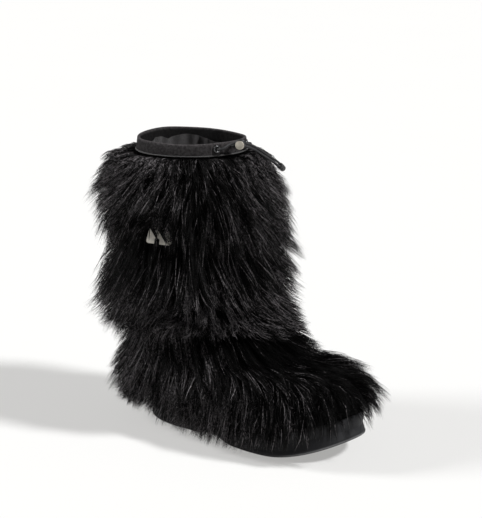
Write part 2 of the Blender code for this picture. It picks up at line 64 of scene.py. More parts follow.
def outward(azimuth, elevation):
    # from the boot towards a camera or a light: azimuth 0 is its outer side and 90 its toe
    az, el = math.radians(azimuth), math.radians(elevation)
    return Vector((math.sin(az) * math.cos(el), -math.cos(az) * math.cos(el), math.sin(el)))


def cameraAxes(s):
    back = outward(s["azimuth"], s["elevation"])
    right = levelHeading(s["azimuth"])
    return back, right, back.cross(right)


def addObject(name, data):
    obj = bpy.data.objects.new(name, data)
    bpy.context.scene.collection.objects.link(obj)
    return obj


def makeCamera(s):
    back, right, up = cameraAxes(s)
    data = bpy.data.cameras.new("photo_camera")
    data.sensor_width = s["sensor"]
    data.lens = s["focal"] * s["sensor"] / max(s["image"])
    camera = addObject("photo_camera", data)
    camera.location = Vector(s["aimAt"]) + back * s["distance"]
    aside = s["image"][0] / 2 - s["aimPixel"][0]  # from the aimed point to the middle of the image
    above = s["aimPixel"][1] - s["image"][1] / 2
    look = -back * s["focal"] + right * aside + up * above
    camera.rotation_euler = look.to_track_quat("-Z", "Y").to_euler()
    bpy.context.scene.camera = camera


makeCamera(cameraSet)

# sections of the boot from the sole's edge to the collar, as the solids have them
# backX backZ frontX frontZ sag heelHalf lateralHalf medialHalf heelRound toeRound
sectionTable = np.array([
    (-36.0, 15.0, 221.0, 33.0, 14.0, 33.0, 48.5, 46.0, 0.20, 0.28),
    (-40.0, 27.0, 225.5, 44.5, 9.5, 36.5, 51.5, 48.5, 0.21, 0.29),
    (-41.5, 40.0, 221.0, 55.0, 5.0, 38.0, 51.5, 48.5, 0.22, 0.30),
    (-41.5, 55.0, 206.0, 64.0, 2.0, 38.5, 49.0, 46.5, 0.24, 0.32),
    (-40.5, 71.0, 181.0, 72.0, 0.0, 38.5, 46.5, 44.5, 0.27, 0.35),
    (-39.0, 88.0, 153.0, 82.0, 0.0, 39.0, 44.5, 43.0, 0.31, 0.39),
    (-38.5, 106.0, 127.0, 97.0, 0.0, 40.5, 44.0, 43.5, 0.36, 0.43),
    (-39.5, 126.0, 106.0, 119.0, 0.0, 43.5, 45.5, 45.0, 0.42, 0.47),
    (-42.0, 150.0, 91.0, 147.0, 0.0, 47.5, 49.0, 49.0, 0.47, 0.49),
    (-46.0, 185.0, 81.0, 184.0, 0.0, 53.0, 53.5, 53.5, 0.50, 0.50),
    (-50.0, 220.0, 77.0, 221.0, 0.0, 57.5, 57.5, 57.5, 0.50, 0.50),
    (-51.5, 250.0, 75.5, 250.0, 0.0, 60.5, 60.5, 60.5, 0.50, 0.50),
    (-50.0, 278.0, 74.0, 278.0, 0.0, 60.0, 60.0, 60.0, 0.50, 0.50),
    (-45.5, 299.0, 69.5, 299.0, 0.0, 57.5, 57.5, 57.5, 0.50, 0.50),
])
lastRing = len(sectionTable) - 1
formSet = {
    "sagPower": 1.5,
    "lateralWidens": (0.25, 0.40),  # where a side starts to widen, and over which share of the length
    "medialWidens": (0.36, 0.36),
    "levelAtSole": 2.0,
    "levelAtCollar": 0.5,
    "step": 0.002,
    "mergeWithin": 2e-6, "slimEdge": 1e-7,  # metres
    "spinMerge": 1e-4,
}


def ease(x):
    x = np.clip(x, 0.0, 1.0)
    return x * x * (3.0 - 2.0 * x)


def easeFrom(x, span):
    start, over = span
    return ease((x - start) / over)


def peak(x, middle, half):
    return np.exp(-(((x - middle) / half) ** 2))


def turnApart(turn, middle):
    return np.angle(np.exp(1j * (np.asarray(turn, float) - middle)))


def bell(turn, middle, half):
    # a peak round the boot
    return peak(turnApart(turn, middle), 0.0, half)


def between(pair, share):
    return pair[0] + (pair[1] - pair[0]) * share


def unit(v):
    return v / (np.linalg.norm(v, axis=-1, keepdims=True) + 1e-12)


def curvePoint(corners, f):
    # on a smooth curve through four points, at a share of the way from the second to the third
    a, b, c, d = corners
    bend = a * 2 - b * 5 + c * 4 - d
    turnBack = b * 3 - a - c * 3 + d
    return (b * 2 + (c - a) * f + bend * f**2 + turnBack * f**3) / 2


def closedCurve(points, level):
    # a smooth closed line through a section's points, at shares from 0 to 1 of its corners
    points = np.asarray(points, float)
    spot = (np.asarray(level, float) % 1.0) * len(points)
    low = np.floor(spot).astype(int)
    return curvePoint((points[(low + k) % len(points)] for k in (-1, 0, 1, 2)), (spot - low)[..., None])


def sectionAt(ring):
    ring = np.asarray(ring, float)
    low = np.clip(np.floor(ring).astype(int), 0, lastRing - 1)
    corners = (sectionTable[np.clip(low + k, 0, lastRing)] for k in (-1, 0, 1, 2))
    return curvePoint(corners, (ring - low)[..., None])


def lengthShare(turn):
    # turn 0 is the back and pi the front, with the outer side of the foot between them
    return (1 - np.cos(turn)) / 2


def along(section, share):
    rise = section[..., 1] + (section[..., 3] - section[..., 1]) * share
    return rise - section[..., 4] * np.sin(np.pi * share ** formSet["sagPower"])


def ringPoint(section, turn):
    share = lengthShare(turn)
    backX, frontX, heelHalf = section[..., 0], section[..., 2], section[..., 5]
    heel = np.clip(1 - share / section[..., 8], 0, 1)
    toe = np.clip((share - 1 + section[..., 9]) / section[..., 9], 0, 1)
    ends = np.sqrt(1 - heel**2) * np.sqrt(1 - toe**2)
    halves = []
    for side, column in (("lateralWidens", 6), ("medialWidens", 7)):
        halves.append(heelHalf + (section[..., column] - heelHalf) * easeFrom(share, formSet[side]))
    y = np.where(np.sin(turn) >= 0, -halves[0], halves[1]) * ends
    return np.stack([backX + (frontX - backX) * share, y, along(section, share)], -1)


def wallNormal(ring, turn):
    step = formSet["step"]
    section = sectionAt(ring)
    upward = ringPoint(sectionAt(np.minimum(ring + step, lastRing)), turn)
    upward = upward - ringPoint(sectionAt(np.maximum(ring - step, 0.0)), turn)
    onward = ringPoint(section, turn + step) - ringPoint(section, turn - step)
    normal = unit(np.cross(onward, upward))
    normal[..., 2] *= ease(ring / formSet["levelAtSole"]) * ease((lastRing - ring) / formSet["levelAtCollar"])
    return unit(normal)


def wallPoint(ring, turn, standOff):
    ring, turn, standOff = np.broadcast_arrays(np.asarray(ring, float), turn, standOff)
    return ringPoint(sectionAt(ring), turn) + wallNormal(ring, turn) * standOff[..., None]


def place(name, mesh, material, replaces=(), body="root"):
    mesh.materials.append(material)
    obj = addObject(name, mesh)
    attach(obj, body)
    if replaces:
        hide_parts(*replaces)
    return obj


def meshFrom(name, bm, smoothAngle):
    mesh = bpy.data.meshes.new(name)
    bm.to_mesh(mesh)
    bm.free()
    mesh.shade_smooth()
    mesh.set_sharp_from_angle(angle=math.radians(smoothAngle))
    return mesh


def wrapSheet(name, s, shape):
    # a grid bent round the boot: shape takes turns from 0 to 2 pi and levels from 0 to 1
    bm = bmesh.new()
    bmesh.ops.create_grid(bm, x_segments=s["columns"], y_segments=s["rows"], size=1.0)
    flat = np.array([v.co for v in bm.verts])
    uvLayer = bm.loops.layers.uv.new("surface")
    for face in bm.faces:
        for loop in face.loops:
            x, y = loop.vert.co.xy
            loop[uvLayer].uv = ((x + 1) / 2 * s["uvSize"][0], (y + 1) / 2 * s["uvSize"][1])
    bent = shape((flat[:, 0] + 1) * np.pi, (flat[:, 1] + 1) / 2) * mm
    for vert, co in zip(bm.verts, bent):
        vert.co = co
    bmesh.ops.remove_doubles(bm, verts=bm.verts[:], dist=formSet["mergeWithin"])
    bmesh.ops.dissolve_degenerate(bm, edges=bm.edges[:], dist=formSet["slimEdge"])
    bmesh.ops.recalc_face_normals(bm, faces=bm.faces[:])
    return meshFrom(name, bm, s["smooth"])


def placeSheet(name, s, shape, material, replaces=()):
    return place(name, wrapSheet(name, s, shape), material, replaces)


# material helpers: an input, with _ for a space in its name, takes a socket to link or a plain value
def setInputs(tree, node, **inputs):
    for name, value in inputs.items():
        socket = node.inputs[name.replace("_", " ")]
        if isinstance(value, bpy.types.NodeSocket):
            tree.links.new(value, socket)
        else:
            socket.default_value = value
    return node


def addNode(tree, kind, **inputs):
    return setInputs(tree, tree.nodes.new("ShaderNode" + kind), **inputs)


def newMaterial(name, colour, roughness, metallic=0.0, specular=0.5):
    material = bpy.data.materials.new(name)
    material.use_nodes = True
    tree = material.node_tree
    shader = tree.nodes["Principled BSDF"]
    setInputs(tree, shader, Base_Color=(*colour, 1.0), Roughness=roughness, Metallic=metallic)
    shader.inputs["Specular IOR Level"].default_value = specular
    return material, tree, shader


def ramp(tree, value, stops):
    # colours along a value, where a plain number is a grey
    node = addNode(tree, "ValToRGB", Fac=value)
    elements = node.color_ramp.elements
    while len(elements) < len(stops):
        elements.new(0.5)
    for element, (position, colour) in zip(elements, stops):
        element.position = position
        element.color = (*(colour if isinstance(colour, tuple) else (colour,) * 3), 1.0)
    return node.outputs["Color"]


def mathNode(tree, operation, *values):
    node = tree.nodes.new("ShaderNodeMath")
    node.operation = operation
    for socket, value in zip(node.inputs, values):
        if isinstance(value, float):
            socket.default_value = value
        else:
            tree.links.new(value, socket)
    return node.outputs[0]


def mixColours(tree, first, second, factor=1.0, blend="MULTIPLY"):
    node = tree.nodes.new("ShaderNodeMix")
    node.data_type = "RGBA"
    node.blend_type = blend
    return setInputs(tree, node, Factor=factor, A=first, B=second).outputs["Result"]


def uvMap(tree, name="surface"):
    node = tree.nodes.new("ShaderNodeUVMap")
    node.uv_map = name
    return node.outputs["UV"]


def splitMap(tree, name="surface"):
    split = addNode(tree, "SeparateXYZ", Vector=uvMap(tree, name))
    return split.outputs["X"], split.outputs["Y"]


def noise(tree, scale, detail=2.0, vector=None):
    # on Object coordinates unless another vector is given
    if vector is None:
        vector = tree.nodes.new("ShaderNodeTexCoord").outputs["Object"]
    return addNode(tree, "TexNoise", Vector=vector, Scale=scale, Detail=detail).outputs["Fac"]


# shared surface effects, each a group that puts out masks and heights
def newGroup(name, inputs, outputs):
    group = bpy.data.node_groups.new(name, "ShaderNodeTree")
    for socket, default in inputs.items():
        made = group.interface.new_socket(socket, in_out="INPUT", socket_type="NodeSocketFloat")
        made.default_value = default
    for socket in outputs:
        group.interface.new_socket(socket, in_out="OUTPUT", socket_type="NodeSocketFloat")
    given = group.nodes.new("NodeGroupInput").outputs
    return group, given, group.nodes.new("NodeGroupOutput")


def makeGrainGroup():
    # fine moulded grain with broader cloudy patches
    group, given, result = newGroup("mouldedGrain", {"Scale": 900.0, "Patch Scale": 40.0}, ["Grain", "Patch"])
    fine = noise(group, given["Scale"], 4.0)
    cloudy = noise(group, given["Patch Scale"], 3.0)
    setInputs(group, result, Grain=fine, Patch=cloudy)
    return group


def makeWeaveGroup():
    # over and under threads on the piece's own surface map, counted in threads
    group, given, result = newGroup("plainWeave", {"Threads": 300.0}, ["Height", "Slub"])
    uv = uvMap(group)
    waves = []
    for direction in ("X", "Y"):
        wave = addNode(group, "TexWave", Vector=uv, Scale=given["Threads"], Distortion=0.6)
        wave.bands_direction = direction
        waves.append(wave.outputs["Fac"])
    setInputs(group, result, Height=mathNode(group, "MULTIPLY", *waves), Slub=noise(group, 60.0, vector=uv))
    return group


grainGroup = makeGrainGroup()
weaveGroup = makeWeaveGroup()


def useGroup(tree, group, **inputs):
    node = tree.nodes.new("ShaderNodeGroup")
    node.node_tree = group
    return setInputs(tree, node, **inputs).outputs


def addBump(tree, shader, height, distance, strength=1.0):
    bump = addNode(tree, "Bump", Distance=distance, Strength=strength, Height=height)
    setInputs(tree, shader, Normal=bump.outputs["Normal"])


rubberSet = {
    "colour": (0.017, 0.019, 0.025), "roughness": 0.6, "specular": 0.32, "grainDepth": 0.0002,
    "tint": [(0.3, (0.0050, 0.0051, 0.0064)), (0.7, (0.0092, 0.0094, 0.0114))],
    "rough": [(0.3, 0.58), (0.7, 0.76)],
    # a painted highlight along the sole's lip, where its edge would catch the light, from the ball of the
    # foot round the toe
    "lipHighlightLevel": [(0.37, 0.0), (0.40, 1.0), (0.44, 1.0), (0.47, 0.0)],
    "lipHighlightTurn": [(0.30, 0.0), (0.38, 1.0), (0.60, 1.0), (0.68, 0.0)],
    "lipHighlightColour": (0.19, 0.19, 0.195, 1.0),
    "soleWrap": (6.0, 1.0),
}
pipingSet = {
    "radius": 0.75, "standOff": 1.7, "rise": 1.4, "twists": 150, "twistDepth": 0.08,
    "columns": 240, "rows": 12, "uvSize": (3.6, 0.07), "smooth": 50.0,
}
clothSet = {
    "weaveDepth": 0.0003, "weaveStrength": 0.7, "sheen": 0.15, "sheenRoughness": 0.5,
    "collarColour": (0.012, 0.0115, 0.012),
    "collarTint": [(0.34, (0.046, 0.0422, 0.0435)), (0.66, (0.108, 0.099, 0.102))],
    "collarDepth": 0.0006, "collarStrength": 0.8, "collarSpecular": 0.15,
    # painted light and shade over the collar's section, from its outer face over the rim to its inner face: a
    # painted highlight on the rolled rim and painted shade on the inner face
    "rimHighlightInnerShade": [(0.02, 0.5), (0.12, 0.5), (0.16, 1.0), (0.2, 0.9), (0.265, 0.8), (0.285, 0.12)],
    # painted sheen round the piping, a gain from the back over the outer side to the front and on: it is
    # lighter where it is uncovered
    "pipingSheen": [
        (0.0, 0.6), (0.12, 1.0), (0.22, 1.0), (0.265, 0.22), (0.345, 0.22), (0.4, 0.75), (0.5, 0.5)],
}


def makeRubber(name, paintedLipHighlight=False):
    s = rubberSet
    material, tree, shader = newMaterial(name, s["colour"], s["roughness"], specular=s["specular"])
    grain = useGroup(tree, grainGroup, Scale=1400.0, Patch_Scale=45.0)
    tint = ramp(tree, grain["Patch"], s["tint"])
    # painted highlight along the sole's lip, in patches
    if paintedLipHighlight:
        mapX, mapY = splitMap(tree)
        share = mathNode(tree, "DIVIDE", mapX, s["soleWrap"][0])
        mask = grain["Patch"]
        for value, stops in ((mapY, s["lipHighlightLevel"]), (share, s["lipHighlightTurn"])):
            mask = mathNode(tree, "MULTIPLY", mask, ramp(tree, value, stops))
        tint = mixColours(tree, tint, s["lipHighlightColour"], mask, "MIX")
    setInputs(tree, shader, Base_Color=tint, Roughness=ramp(tree, grain["Patch"], s["rough"]))
    addBump(tree, shader, grain["Grain"], s["grainDepth"])
    return material


def makeCloth(name, dark, light, threads, roughness=0.85, paintedSheen=None):
    s = clothSet
    material, tree, shader = newMaterial(name, dark, roughness)
    weave = useGroup(tree, weaveGroup, Threads=threads)
    tint = ramp(tree, weave["Slub"], [(0.1, dark), (0.8, light)])
    # painted sheen along the piping, lighter where it is uncovered
    if paintedSheen:
        share = mathNode(tree, "DIVIDE", splitMap(tree)[0], pipingSet["uvSize"][0])
        tint = mixColours(tree, tint, ramp(tree, share, paintedSheen))
    setInputs(tree, shader, Base_Color=tint, Sheen_Weight=s["sheen"], Sheen_Roughness=s["sheenRoughness"])
    addBump(tree, shader, weave["Height"], s["weaveDepth"], s["weaveStrength"])
    return material


def makeCollarCloth():
    # woven cloth with a painted highlight on its rolled rim and painted shade on its inner face
    s = clothSet
    material, tree, shader = newMaterial(
        "black_collar_cloth", s["collarColour"], 0.85, specular=s["collarSpecular"])
    weave = useGroup(tree, weaveGroup, Threads=420.0)
    grain = useGroup(tree, grainGroup, Scale=700.0, Patch_Scale=380.0)
    tint = ramp(tree, grain["Patch"], s["collarTint"])
    # painted highlight on the rim and painted shade on the inner face, along the collar's section
    setInputs(tree, shader, Base_Color=mixColours(tree, tint, ramp(tree, splitMap(tree)[1], s["rimHighlightInnerShade"])))
    height = mathNode(tree, "ADD", weave["Height"], grain["Patch"])
    addBump(tree, shader, height, s["collarDepth"], s["collarStrength"])
    return material


def makeMetal(name, colour, roughness, metallic=1.0):
    material, tree, shader = newMaterial(name, colour, roughness, metallic)
    grain = useGroup(tree, grainGroup, Scale=2600.0, Patch_Scale=160.0)
    dull = tuple(c * 0.68 for c in colour)
    tint = ramp(tree, grain["Patch"], [(0.35, dull), (0.65, colour)])
    rough = ramp(tree, grain["Patch"], [(0.3, roughness * 0.75), (0.7, roughness * 1.3)])
    setInputs(tree, shader, Base_Color=tint, Roughness=rough)
    addBump(tree, shader, grain["Grain"], 0.00003)
    return material


def makePlastic():
    material, tree, shader = newMaterial("black_plastic_moulded", (0.014, 0.014, 0.015), 0.42)
    grain = useGroup(tree, grainGroup, Scale=2400.0, Patch_Scale=200.0)
    setInputs(tree, shader, Roughness=ramp(tree, grain["Patch"], [(0.3, 0.34), (0.7, 0.5)]))
    addBump(tree, shader, grain["Grain"], 0.00005)
    return material


def makeCordBraid():
    material, tree, shader = newMaterial("black_cord_braided", (0.012, 0.012, 0.013), 0.62)
    coords = tree.nodes.new("ShaderNodeTexCoord").outputs["Object"]
    braid = addNode(tree, "TexVoronoi", Vector=coords, Scale=1500.0).outputs["Distance"]
    tint = ramp(tree, braid, [(0.0, (0.022, 0.022, 0.024)), (0.6, (0.006, 0.006, 0.007))])
    setInputs(tree, shader, Base_Color=tint)
    addBump(tree, shader, braid, 0.0002, 0.8)
    return material


rubber = makeRubber("black_rubber_moulded")
soleRubber = makeRubber("black_rubber_lip_highlight", True)
collarCloth = makeCollarCloth()
liningCloth = makeCloth("dark_lining_cloth", (0.040, 0.037, 0.038), (0.075, 0.070, 0.072), 300.0)
pipingCloth = makeCloth(
    "grey_piping_satin", (0.012, 0.0115, 0.0116), (0.150, 0.144, 0.144), 500.0, 0.5, clothSet["pipingSheen"])
footbedFelt = makeCloth("grey_felt", (0.035, 0.034, 0.033), (0.065, 0.062, 0.060), 160.0, 0.95)
steel = makeMetal("bright_steel_ring", (0.16, 0.16, 0.165), 0.30)
paleMetal = makeMetal("pale_metal_satin", (0.56, 0.525, 0.455), 0.52)
plateMetal = makeMetal("pale_plate_matt", (0.86, 0.82, 0.74), 0.5, 0.0)
plastic = makePlastic()
cordBraid = makeCordBraid()
print("materials made")

# drawcord: two ends that leave the eyelets, pass the lock and meet in a moulded end
cordSet = {
    "diameter": 2.4,
    "lane": 1.6,
    "start": 0.9,
    "straight": 5.0,
    "lockReach": 5.6,
    "endGap": 0.45,
    "lateralApproach": [(74.2, -25.0, 308.8), (76.0, -18.8, 312.0)],
    "medialApproach": [
        (74.0, 21.5, 307.4), (74.0, 12.0, 308.4), (72.6, 1.5, 309.6), (72.3, -6.4, 310.2),
        (73.3, -10.4, 310.3), (75.8, -12.3, 310.4)],
    "tail": [(92.6, 2.6, 308.0), (95.4, 10.6, 302.6), (99.0, 18.0, 297.0), (101.8, 25.6, 291.8)],
    "steps": 12,
    "easing": 26,  # passes that round off the tighter bends
    "roundness": 4,
}
collarSet = {"centreX": 12.0, "radius": 57.5, "baseZ": 299.0, "topZ": 313.0, "bandFace": 0.7}
eyeletSet = {"angle": 25.0, "radius": 3.0, "wire": 0.9, "rise": 8.2, "corners": 15}
lockSet = {
    "centre": (84.0, -9.5, 312.0), "heading": 30.0, "radius": 5.2, "length": 9.0, "corner": 0.9,
    "groove": (1.8, 1.4, 0.5),  # half widths at its mouth and floor, and depth
    "slot": (3.4, 6.8),
    "capRadius": 4.6, "cap": 1.4, "capEdges": (0.35, 0.5),
    "capDish": [(1.1, 0.12), (1.5, 0.3)],  # inset and dip
    "capDip": 0.2,
}
cordEndSet = {
    "centre": (102.6, 37.4, 283.6), "heading": 93.0, "drop": 33.0, "radius": 3.4, "taper": 0.9, "length": 9.5,
    "edges": (1.2, 1.8),
    "neck": [(2.2, 0.0), (2.6, 0.35), (3.2, 0.35), (3.6, 0.05)],  # from its face, and inset
}


def facing(centre, heading, drop=0.0):
    # a frame whose Z points along a level heading from +X, turned down by a drop
    direction = levelHeading(heading) * math.cos(math.radians(drop))
    direction.z = -math.sin(math.radians(drop))
    side = Vector((0.0, 0.0, 1.0)).cross(direction).normalized()
    axes = Matrix((side, direction.cross(side), direction)).transposed().to_4x4()
    return Matrix.Translation(centre) @ axes


def collarFrame(angle):
    middle = Vector((collarSet["centreX"], 0.0, collarSet["baseZ"] + eyeletSet["rise"]))
    return facing(middle + levelHeading(angle) * (collarSet["radius"] + collarSet["bandFace"]), angle)


def smoothRoute(points, steps):
    ends = [points[0] * 2 - points[1], *points, points[-1] * 2 - points[-2]]
    fine = []
    for corners in zip(ends, ends[1:], ends[2:], ends[3:]):
        fine += [curvePoint(corners, k / steps) for k in range(steps)]
    fine.append(points[-1])
    for _ in range(cordSet["easing"]):
        fine[1:-1] = [(a + b * 2 + c) / 4 for a, b, c in zip(fine, fine[1:], fine[2:])]
    return fine


def cordRoute(s, side):
    lane = -side * s["lane"]
    eyelet = collarFrame(side * eyeletSet["angle"])
    lock = facing(lockSet["centre"], lockSet["heading"])
    end = facing(cordEndSet["centre"], cordEndSet["heading"], cordEndSet["drop"])
    face = -cordEndSet["length"] / 2 - s["endGap"]
    approach = s["lateralApproach"] if side < 0 else s["medialApproach"]
    return [
        eyelet @ Vector((0.0, 0.0, s["start"])),
        eyelet @ Vector((0.0, 0.0, s["straight"])),
        *(Vector(point) for point in approach),
        *(lock @ Vector((0.0, lane, reach)) for reach in (-s["lockReach"], 0.0, s["lockReach"])),
        *(Vector(point) + Vector((0.0, 0.0, lane)) for point in s["tail"]),
        end @ Vector((0.0, lane, face - s["straight"])),
        end @ Vector((0.0, lane, face)),
    ]


def makeCord(name, side, node):
    points = [p * mm for p in smoothRoute(cordRoute(cordSet, side), cordSet["steps"])]
    curve = bpy.data.curves.new(name, "CURVE")
    curve.dimensions = "3D"
    curve.bevel_depth = cordSet["diameter"] / 2 * mm
    curve.bevel_resolution = cordSet["roundness"]
    curve.use_fill_caps = True
    spline = curve.splines.new("POLY")
    spline.points.add(len(points) - 1)
    for spot, point in zip(spline.points, points):
        spot.co = (*point, 1.0)
    cord = place(name, curve, cordBraid, [node])
    length = sum((q - p).length for p, q in zip(points, points[1:]))
    return cord, points[0], length


# turned pieces: a half profile in the XZ plane, spun about Z and set in its frame
def turned(name, profile, matrix, steps=40, smoothAngle=40.0):
    bm = bmesh.new()
    verts = [bm.verts.new((radius, 0.0, height)) for radius, height in profile]
    edges = [bm.edges.new(pair) for pair in zip(verts, verts[1:])]
    bmesh.ops.spin(bm, geom=verts + edges, cent=(0, 0, 0), axis=(0, 0, 1), angle=2 * math.pi, steps=steps,
                   use_merge=True)
    bmesh.ops.remove_doubles(bm, verts=bm.verts[:], dist=formSet["spinMerge"])
    bmesh.ops.recalc_face_normals(bm, faces=bm.faces[:])
    bmesh.ops.transform(bm, matrix=Matrix.Scale(mm, 4) @ matrix, verts=bm.verts[:])
    return meshFrom(name, bm, smoothAngle)


def arcProfile(radius, centre, start, stop, count):
    angles = np.radians(np.linspace(start, stop, count))
    return [(centre[0] + radius * math.cos(a), centre[1] + radius * math.sin(a)) for a in angles]


def addBlock(bm, matrix, size):
    bmesh.ops.create_cube(bm, size=1.0, matrix=Matrix.Scale(mm, 4) @ matrix @ Matrix.Diagonal((*size, 1.0)))


def cutAway(obj, bm, name):
    # an exact cut, applied at once so that no cutter stays in the scene
    mesh = bpy.data.meshes.new(name)
    bm.to_mesh(mesh)
    bm.free()
    cutter = addObject(name, mesh)
    modifier = obj.modifiers.new(name, "BOOLEAN")
    modifier.operation = "DIFFERENCE"
    modifier.solver = "EXACT"
    modifier.object = cutter
    with bpy.context.temp_override(object=obj, active_object=obj, selected_objects=[obj]):
        bpy.ops.object.modifier_apply(modifier=name)
    bpy.data.objects.remove(cutter)
    bpy.data.meshes.remove(mesh)


def makeLock():
    s = lockSet
    frameAcross = facing(s["centre"], s["heading"] - 90.0)
    half, r, corner = s["length"] / 2, s["radius"], s["corner"]
    wide, narrow, deep = s["groove"]
    body = [(0.0, -half), *arcProfile(corner, (r - corner, -half + corner), -90, 0, 6),
            (r, -wide), (r - deep, -narrow), (r - deep, narrow), (r, wide),
            *arcProfile(corner, (r - corner, half - corner), 0, 90, 6), (0.0, half)]
    barrel = turned("toggle_body", body, frameAcross)
    lockBody = place("toggle_body", barrel, plastic, ["toggle_barrel"])
    bm = bmesh.new()
    addBlock(bm, frameAcross, (4 * r, s["slot"][1], s["slot"][0]))
    cutAway(lockBody, bm, "toggle_slot_cutter")
    r, top = s["capRadius"], s["cap"]
    low, high = s["capEdges"]
    disc = [(0.0, 0.0), *arcProfile(low, (r - low, low), -90, 0, 4),
            *arcProfile(high, (r - high, top - high), 0, 90, 6),
            *((r - inset, top - dip) for inset, dip in s["capDish"]), (0.0, top - s["capDip"])]
    cap = turned("toggle_disc", disc, frameAcross @ Matrix.Translation((0.0, 0.0, half + gap)))
    return lockBody, place("toggle_disc", cap, paleMetal, ["toggle_cap"])


def makeCordEnd():
    s = cordEndSet
    half, r, tip = s["length"] / 2, s["radius"], s["radius"] * s["taper"]
    low, high = s["edges"]
    profile = [(0.0, -half), *arcProfile(low, (r - low, -half + low), -90, 0, 6),
               *((r - inset, -half + reach) for reach, inset in s["neck"]),
               *arcProfile(high, (tip - high, half - high), 0, 90, 7), (0.0, half)]
    mesh = turned("moulded_cord_end", profile, facing(s["centre"], s["heading"], s["drop"]))
    return place("moulded_cord_end", mesh, plastic, ["cord_end"])


def makeEyelet(name, side, node):
    s = eyeletSet
    rim = arcProfile(s["wire"], (s["radius"], 0.0), 0, 360, s["corners"])
    frameOut = collarFrame(side * s["angle"]) @ Matrix.Translation((0.0, 0.0, gap + s["wire"]))
    place(name, turned(name, rim, frameOut), steel, [node])


lockBody, lockDisc = makeLock()
cordEnd = makeCordEnd()
lateralCord, lateralExit, lateralLength = makeCord("lateral_cord", -1, "drawcord_lateral")
medialCord, medialExit, medialLength = makeCord("medial_cord", 1, "drawcord_medial")
makeEyelet("lateral_eyelet", -1, "eyelet_lateral")
makeEyelet("medial_eyelet", 1, "eyelet_medial")
print("cords", round(lateralLength, 4), round(medialLength, 4))


# collar band: stand-off from the wall and share of the height, round the band's section
bandSet = {
    "section": [
        (-2.9, 0.0), (0.4, 0.0), (0.7, 0.5), (0.3, 0.9), (-0.7, 1.0), (-1.9, 1.0), (-2.9, 0.9), (-3.1, 0.5)],
    "columns": 300, "rows": 40, "uvSize": (3.6, 0.36), "smooth": 50.0,
    "gathers": 58,
    "gatherDepth": 1.5,
    "gatherSpread": 0.75,  # radians either side of the front
    "gatherLeast": 0.08,  # all round
    "outerFace": (1.2, 1.6),  # starts this far inside the wall, over this much
    "rimStitchRise": 0.80,
    "stitchWidth": 0.05,
    "stitchDepth": 0.25,
    "sways": [(0.35, 2, 0.6), (0.25, 5, 0.0)],  # height, number round the rim, phase
    "rimSways": [(5.95, 0.45, 2.2), (4.25, 0.50, -2.0)],  # turn, half width, rise
}


def collarPoint(turn, standOff, z):
    radius = collarSet["radius"] + standOff
    return np.stack([collarSet["centreX"] - radius * np.cos(turn), -radius * np.sin(turn), z], -1)


def bandShape(turn, level):
    s = bandSet
    inset, climb = closedCurve(s["section"], level).T
    near = peak(turn, np.pi, s["gatherSpread"]) ** 2
    middle = np.sin(np.pi * np.clip(climb, 0, 1))
    gathers = np.sin(s["gathers"] * turn + 2.1 * np.sin(3 * turn)) * (0.6 + 0.4 * np.sin(7 * turn + 1.0))
    start, over = s["outerFace"]
    outer = np.clip(inset + start, 0, over) / over
    standOff = inset + s["gatherDepth"] * gathers * (s["gatherLeast"] + near) * middle * (2 * outer - 1)
    stitchRow = peak(climb, s["rimStitchRise"], s["stitchWidth"])
    standOff -= s["stitchDepth"] * stitchRow * np.where(outer > 0.5, 1.0, -1.0)
    rise = collarSet["baseZ"] + gap + (collarSet["topZ"] - collarSet["baseZ"] - gap) * climb
    sway = sum(height * np.sin(number * turn + phase) for height, number, phase in s["sways"])
    sway = sway + sum(height * bell(turn, where, half) for where, half, height in s["rimSways"])
    return collarPoint(turn, standOff, rise + sway * climb)


def pipingShape(turn, level):
    s = pipingSet
    angle = 2 * np.pi * level
    radius = s["radius"] + s["twistDepth"] * np.sin(s["twists"] * turn + angle)
    z = collarSet["baseZ"] + s["rise"] + radius * np.sin(angle)
    return collarPoint(turn, s["standOff"] + radius * np.cos(angle), z)


placeSheet("gathered_collar", bandSet, bandShape, collarCloth, ["collar_band"])
placeSheet("piped_seam", pipingSet, pipingShape, pipingCloth, ["collar_piping"])

# lining: a thin shell inside the upper, with soft folds given one by one
liningSet = {
    "wall": 2.5,
    "thickness": 0.9,
    "lowRing": 0.9,
    "highRing": 12.95,
    "columns": 200, "rows": 72, "uvSize": (2.4, 3.0), "smooth": 80.0,
    "folds": [  # turn, width, depth, lowest and highest ring
        (5.35, 0.20, 3.4, 8.6, 12.4), (4.85, 0.16, 2.6, 9.2, 12.7), (4.35, 0.22, 3.2, 8.2, 12.2),
        (3.75, 0.14, 2.2, 9.6, 12.6), (5.85, 0.17, 2.8, 9.0, 12.5), (2.2, 0.2, 2.4, 8.5, 12.0),
        (1.2, 0.2, 2.6, 8.8, 12.4), (0.3, 0.18, 2.2, 9.1, 12.2), (3.1, 0.25, 3.0, 6.0, 9.0)],
    "foldLean": (0.05, 10.0),  # turn for each ring, upright at this one
    "foldEnds": (1.2, 0.6),  # rings over which a fold fades out, below and above
    "slackDepth": 0.8,
    "rimFade": 0.5,
    # where the lining rises inside the band: turn, half width, rise, then how it starts and the folds in it
    "domes": [(5.52, 0.60, 8.2), (6.14, 0.34, 7.6)],
    "domeFrom": (0.86, 0.14), "domeFull": 3.0, "domeInset": 0.9, "domeFolds": 27, "domeFoldDepth": 0.8,
}


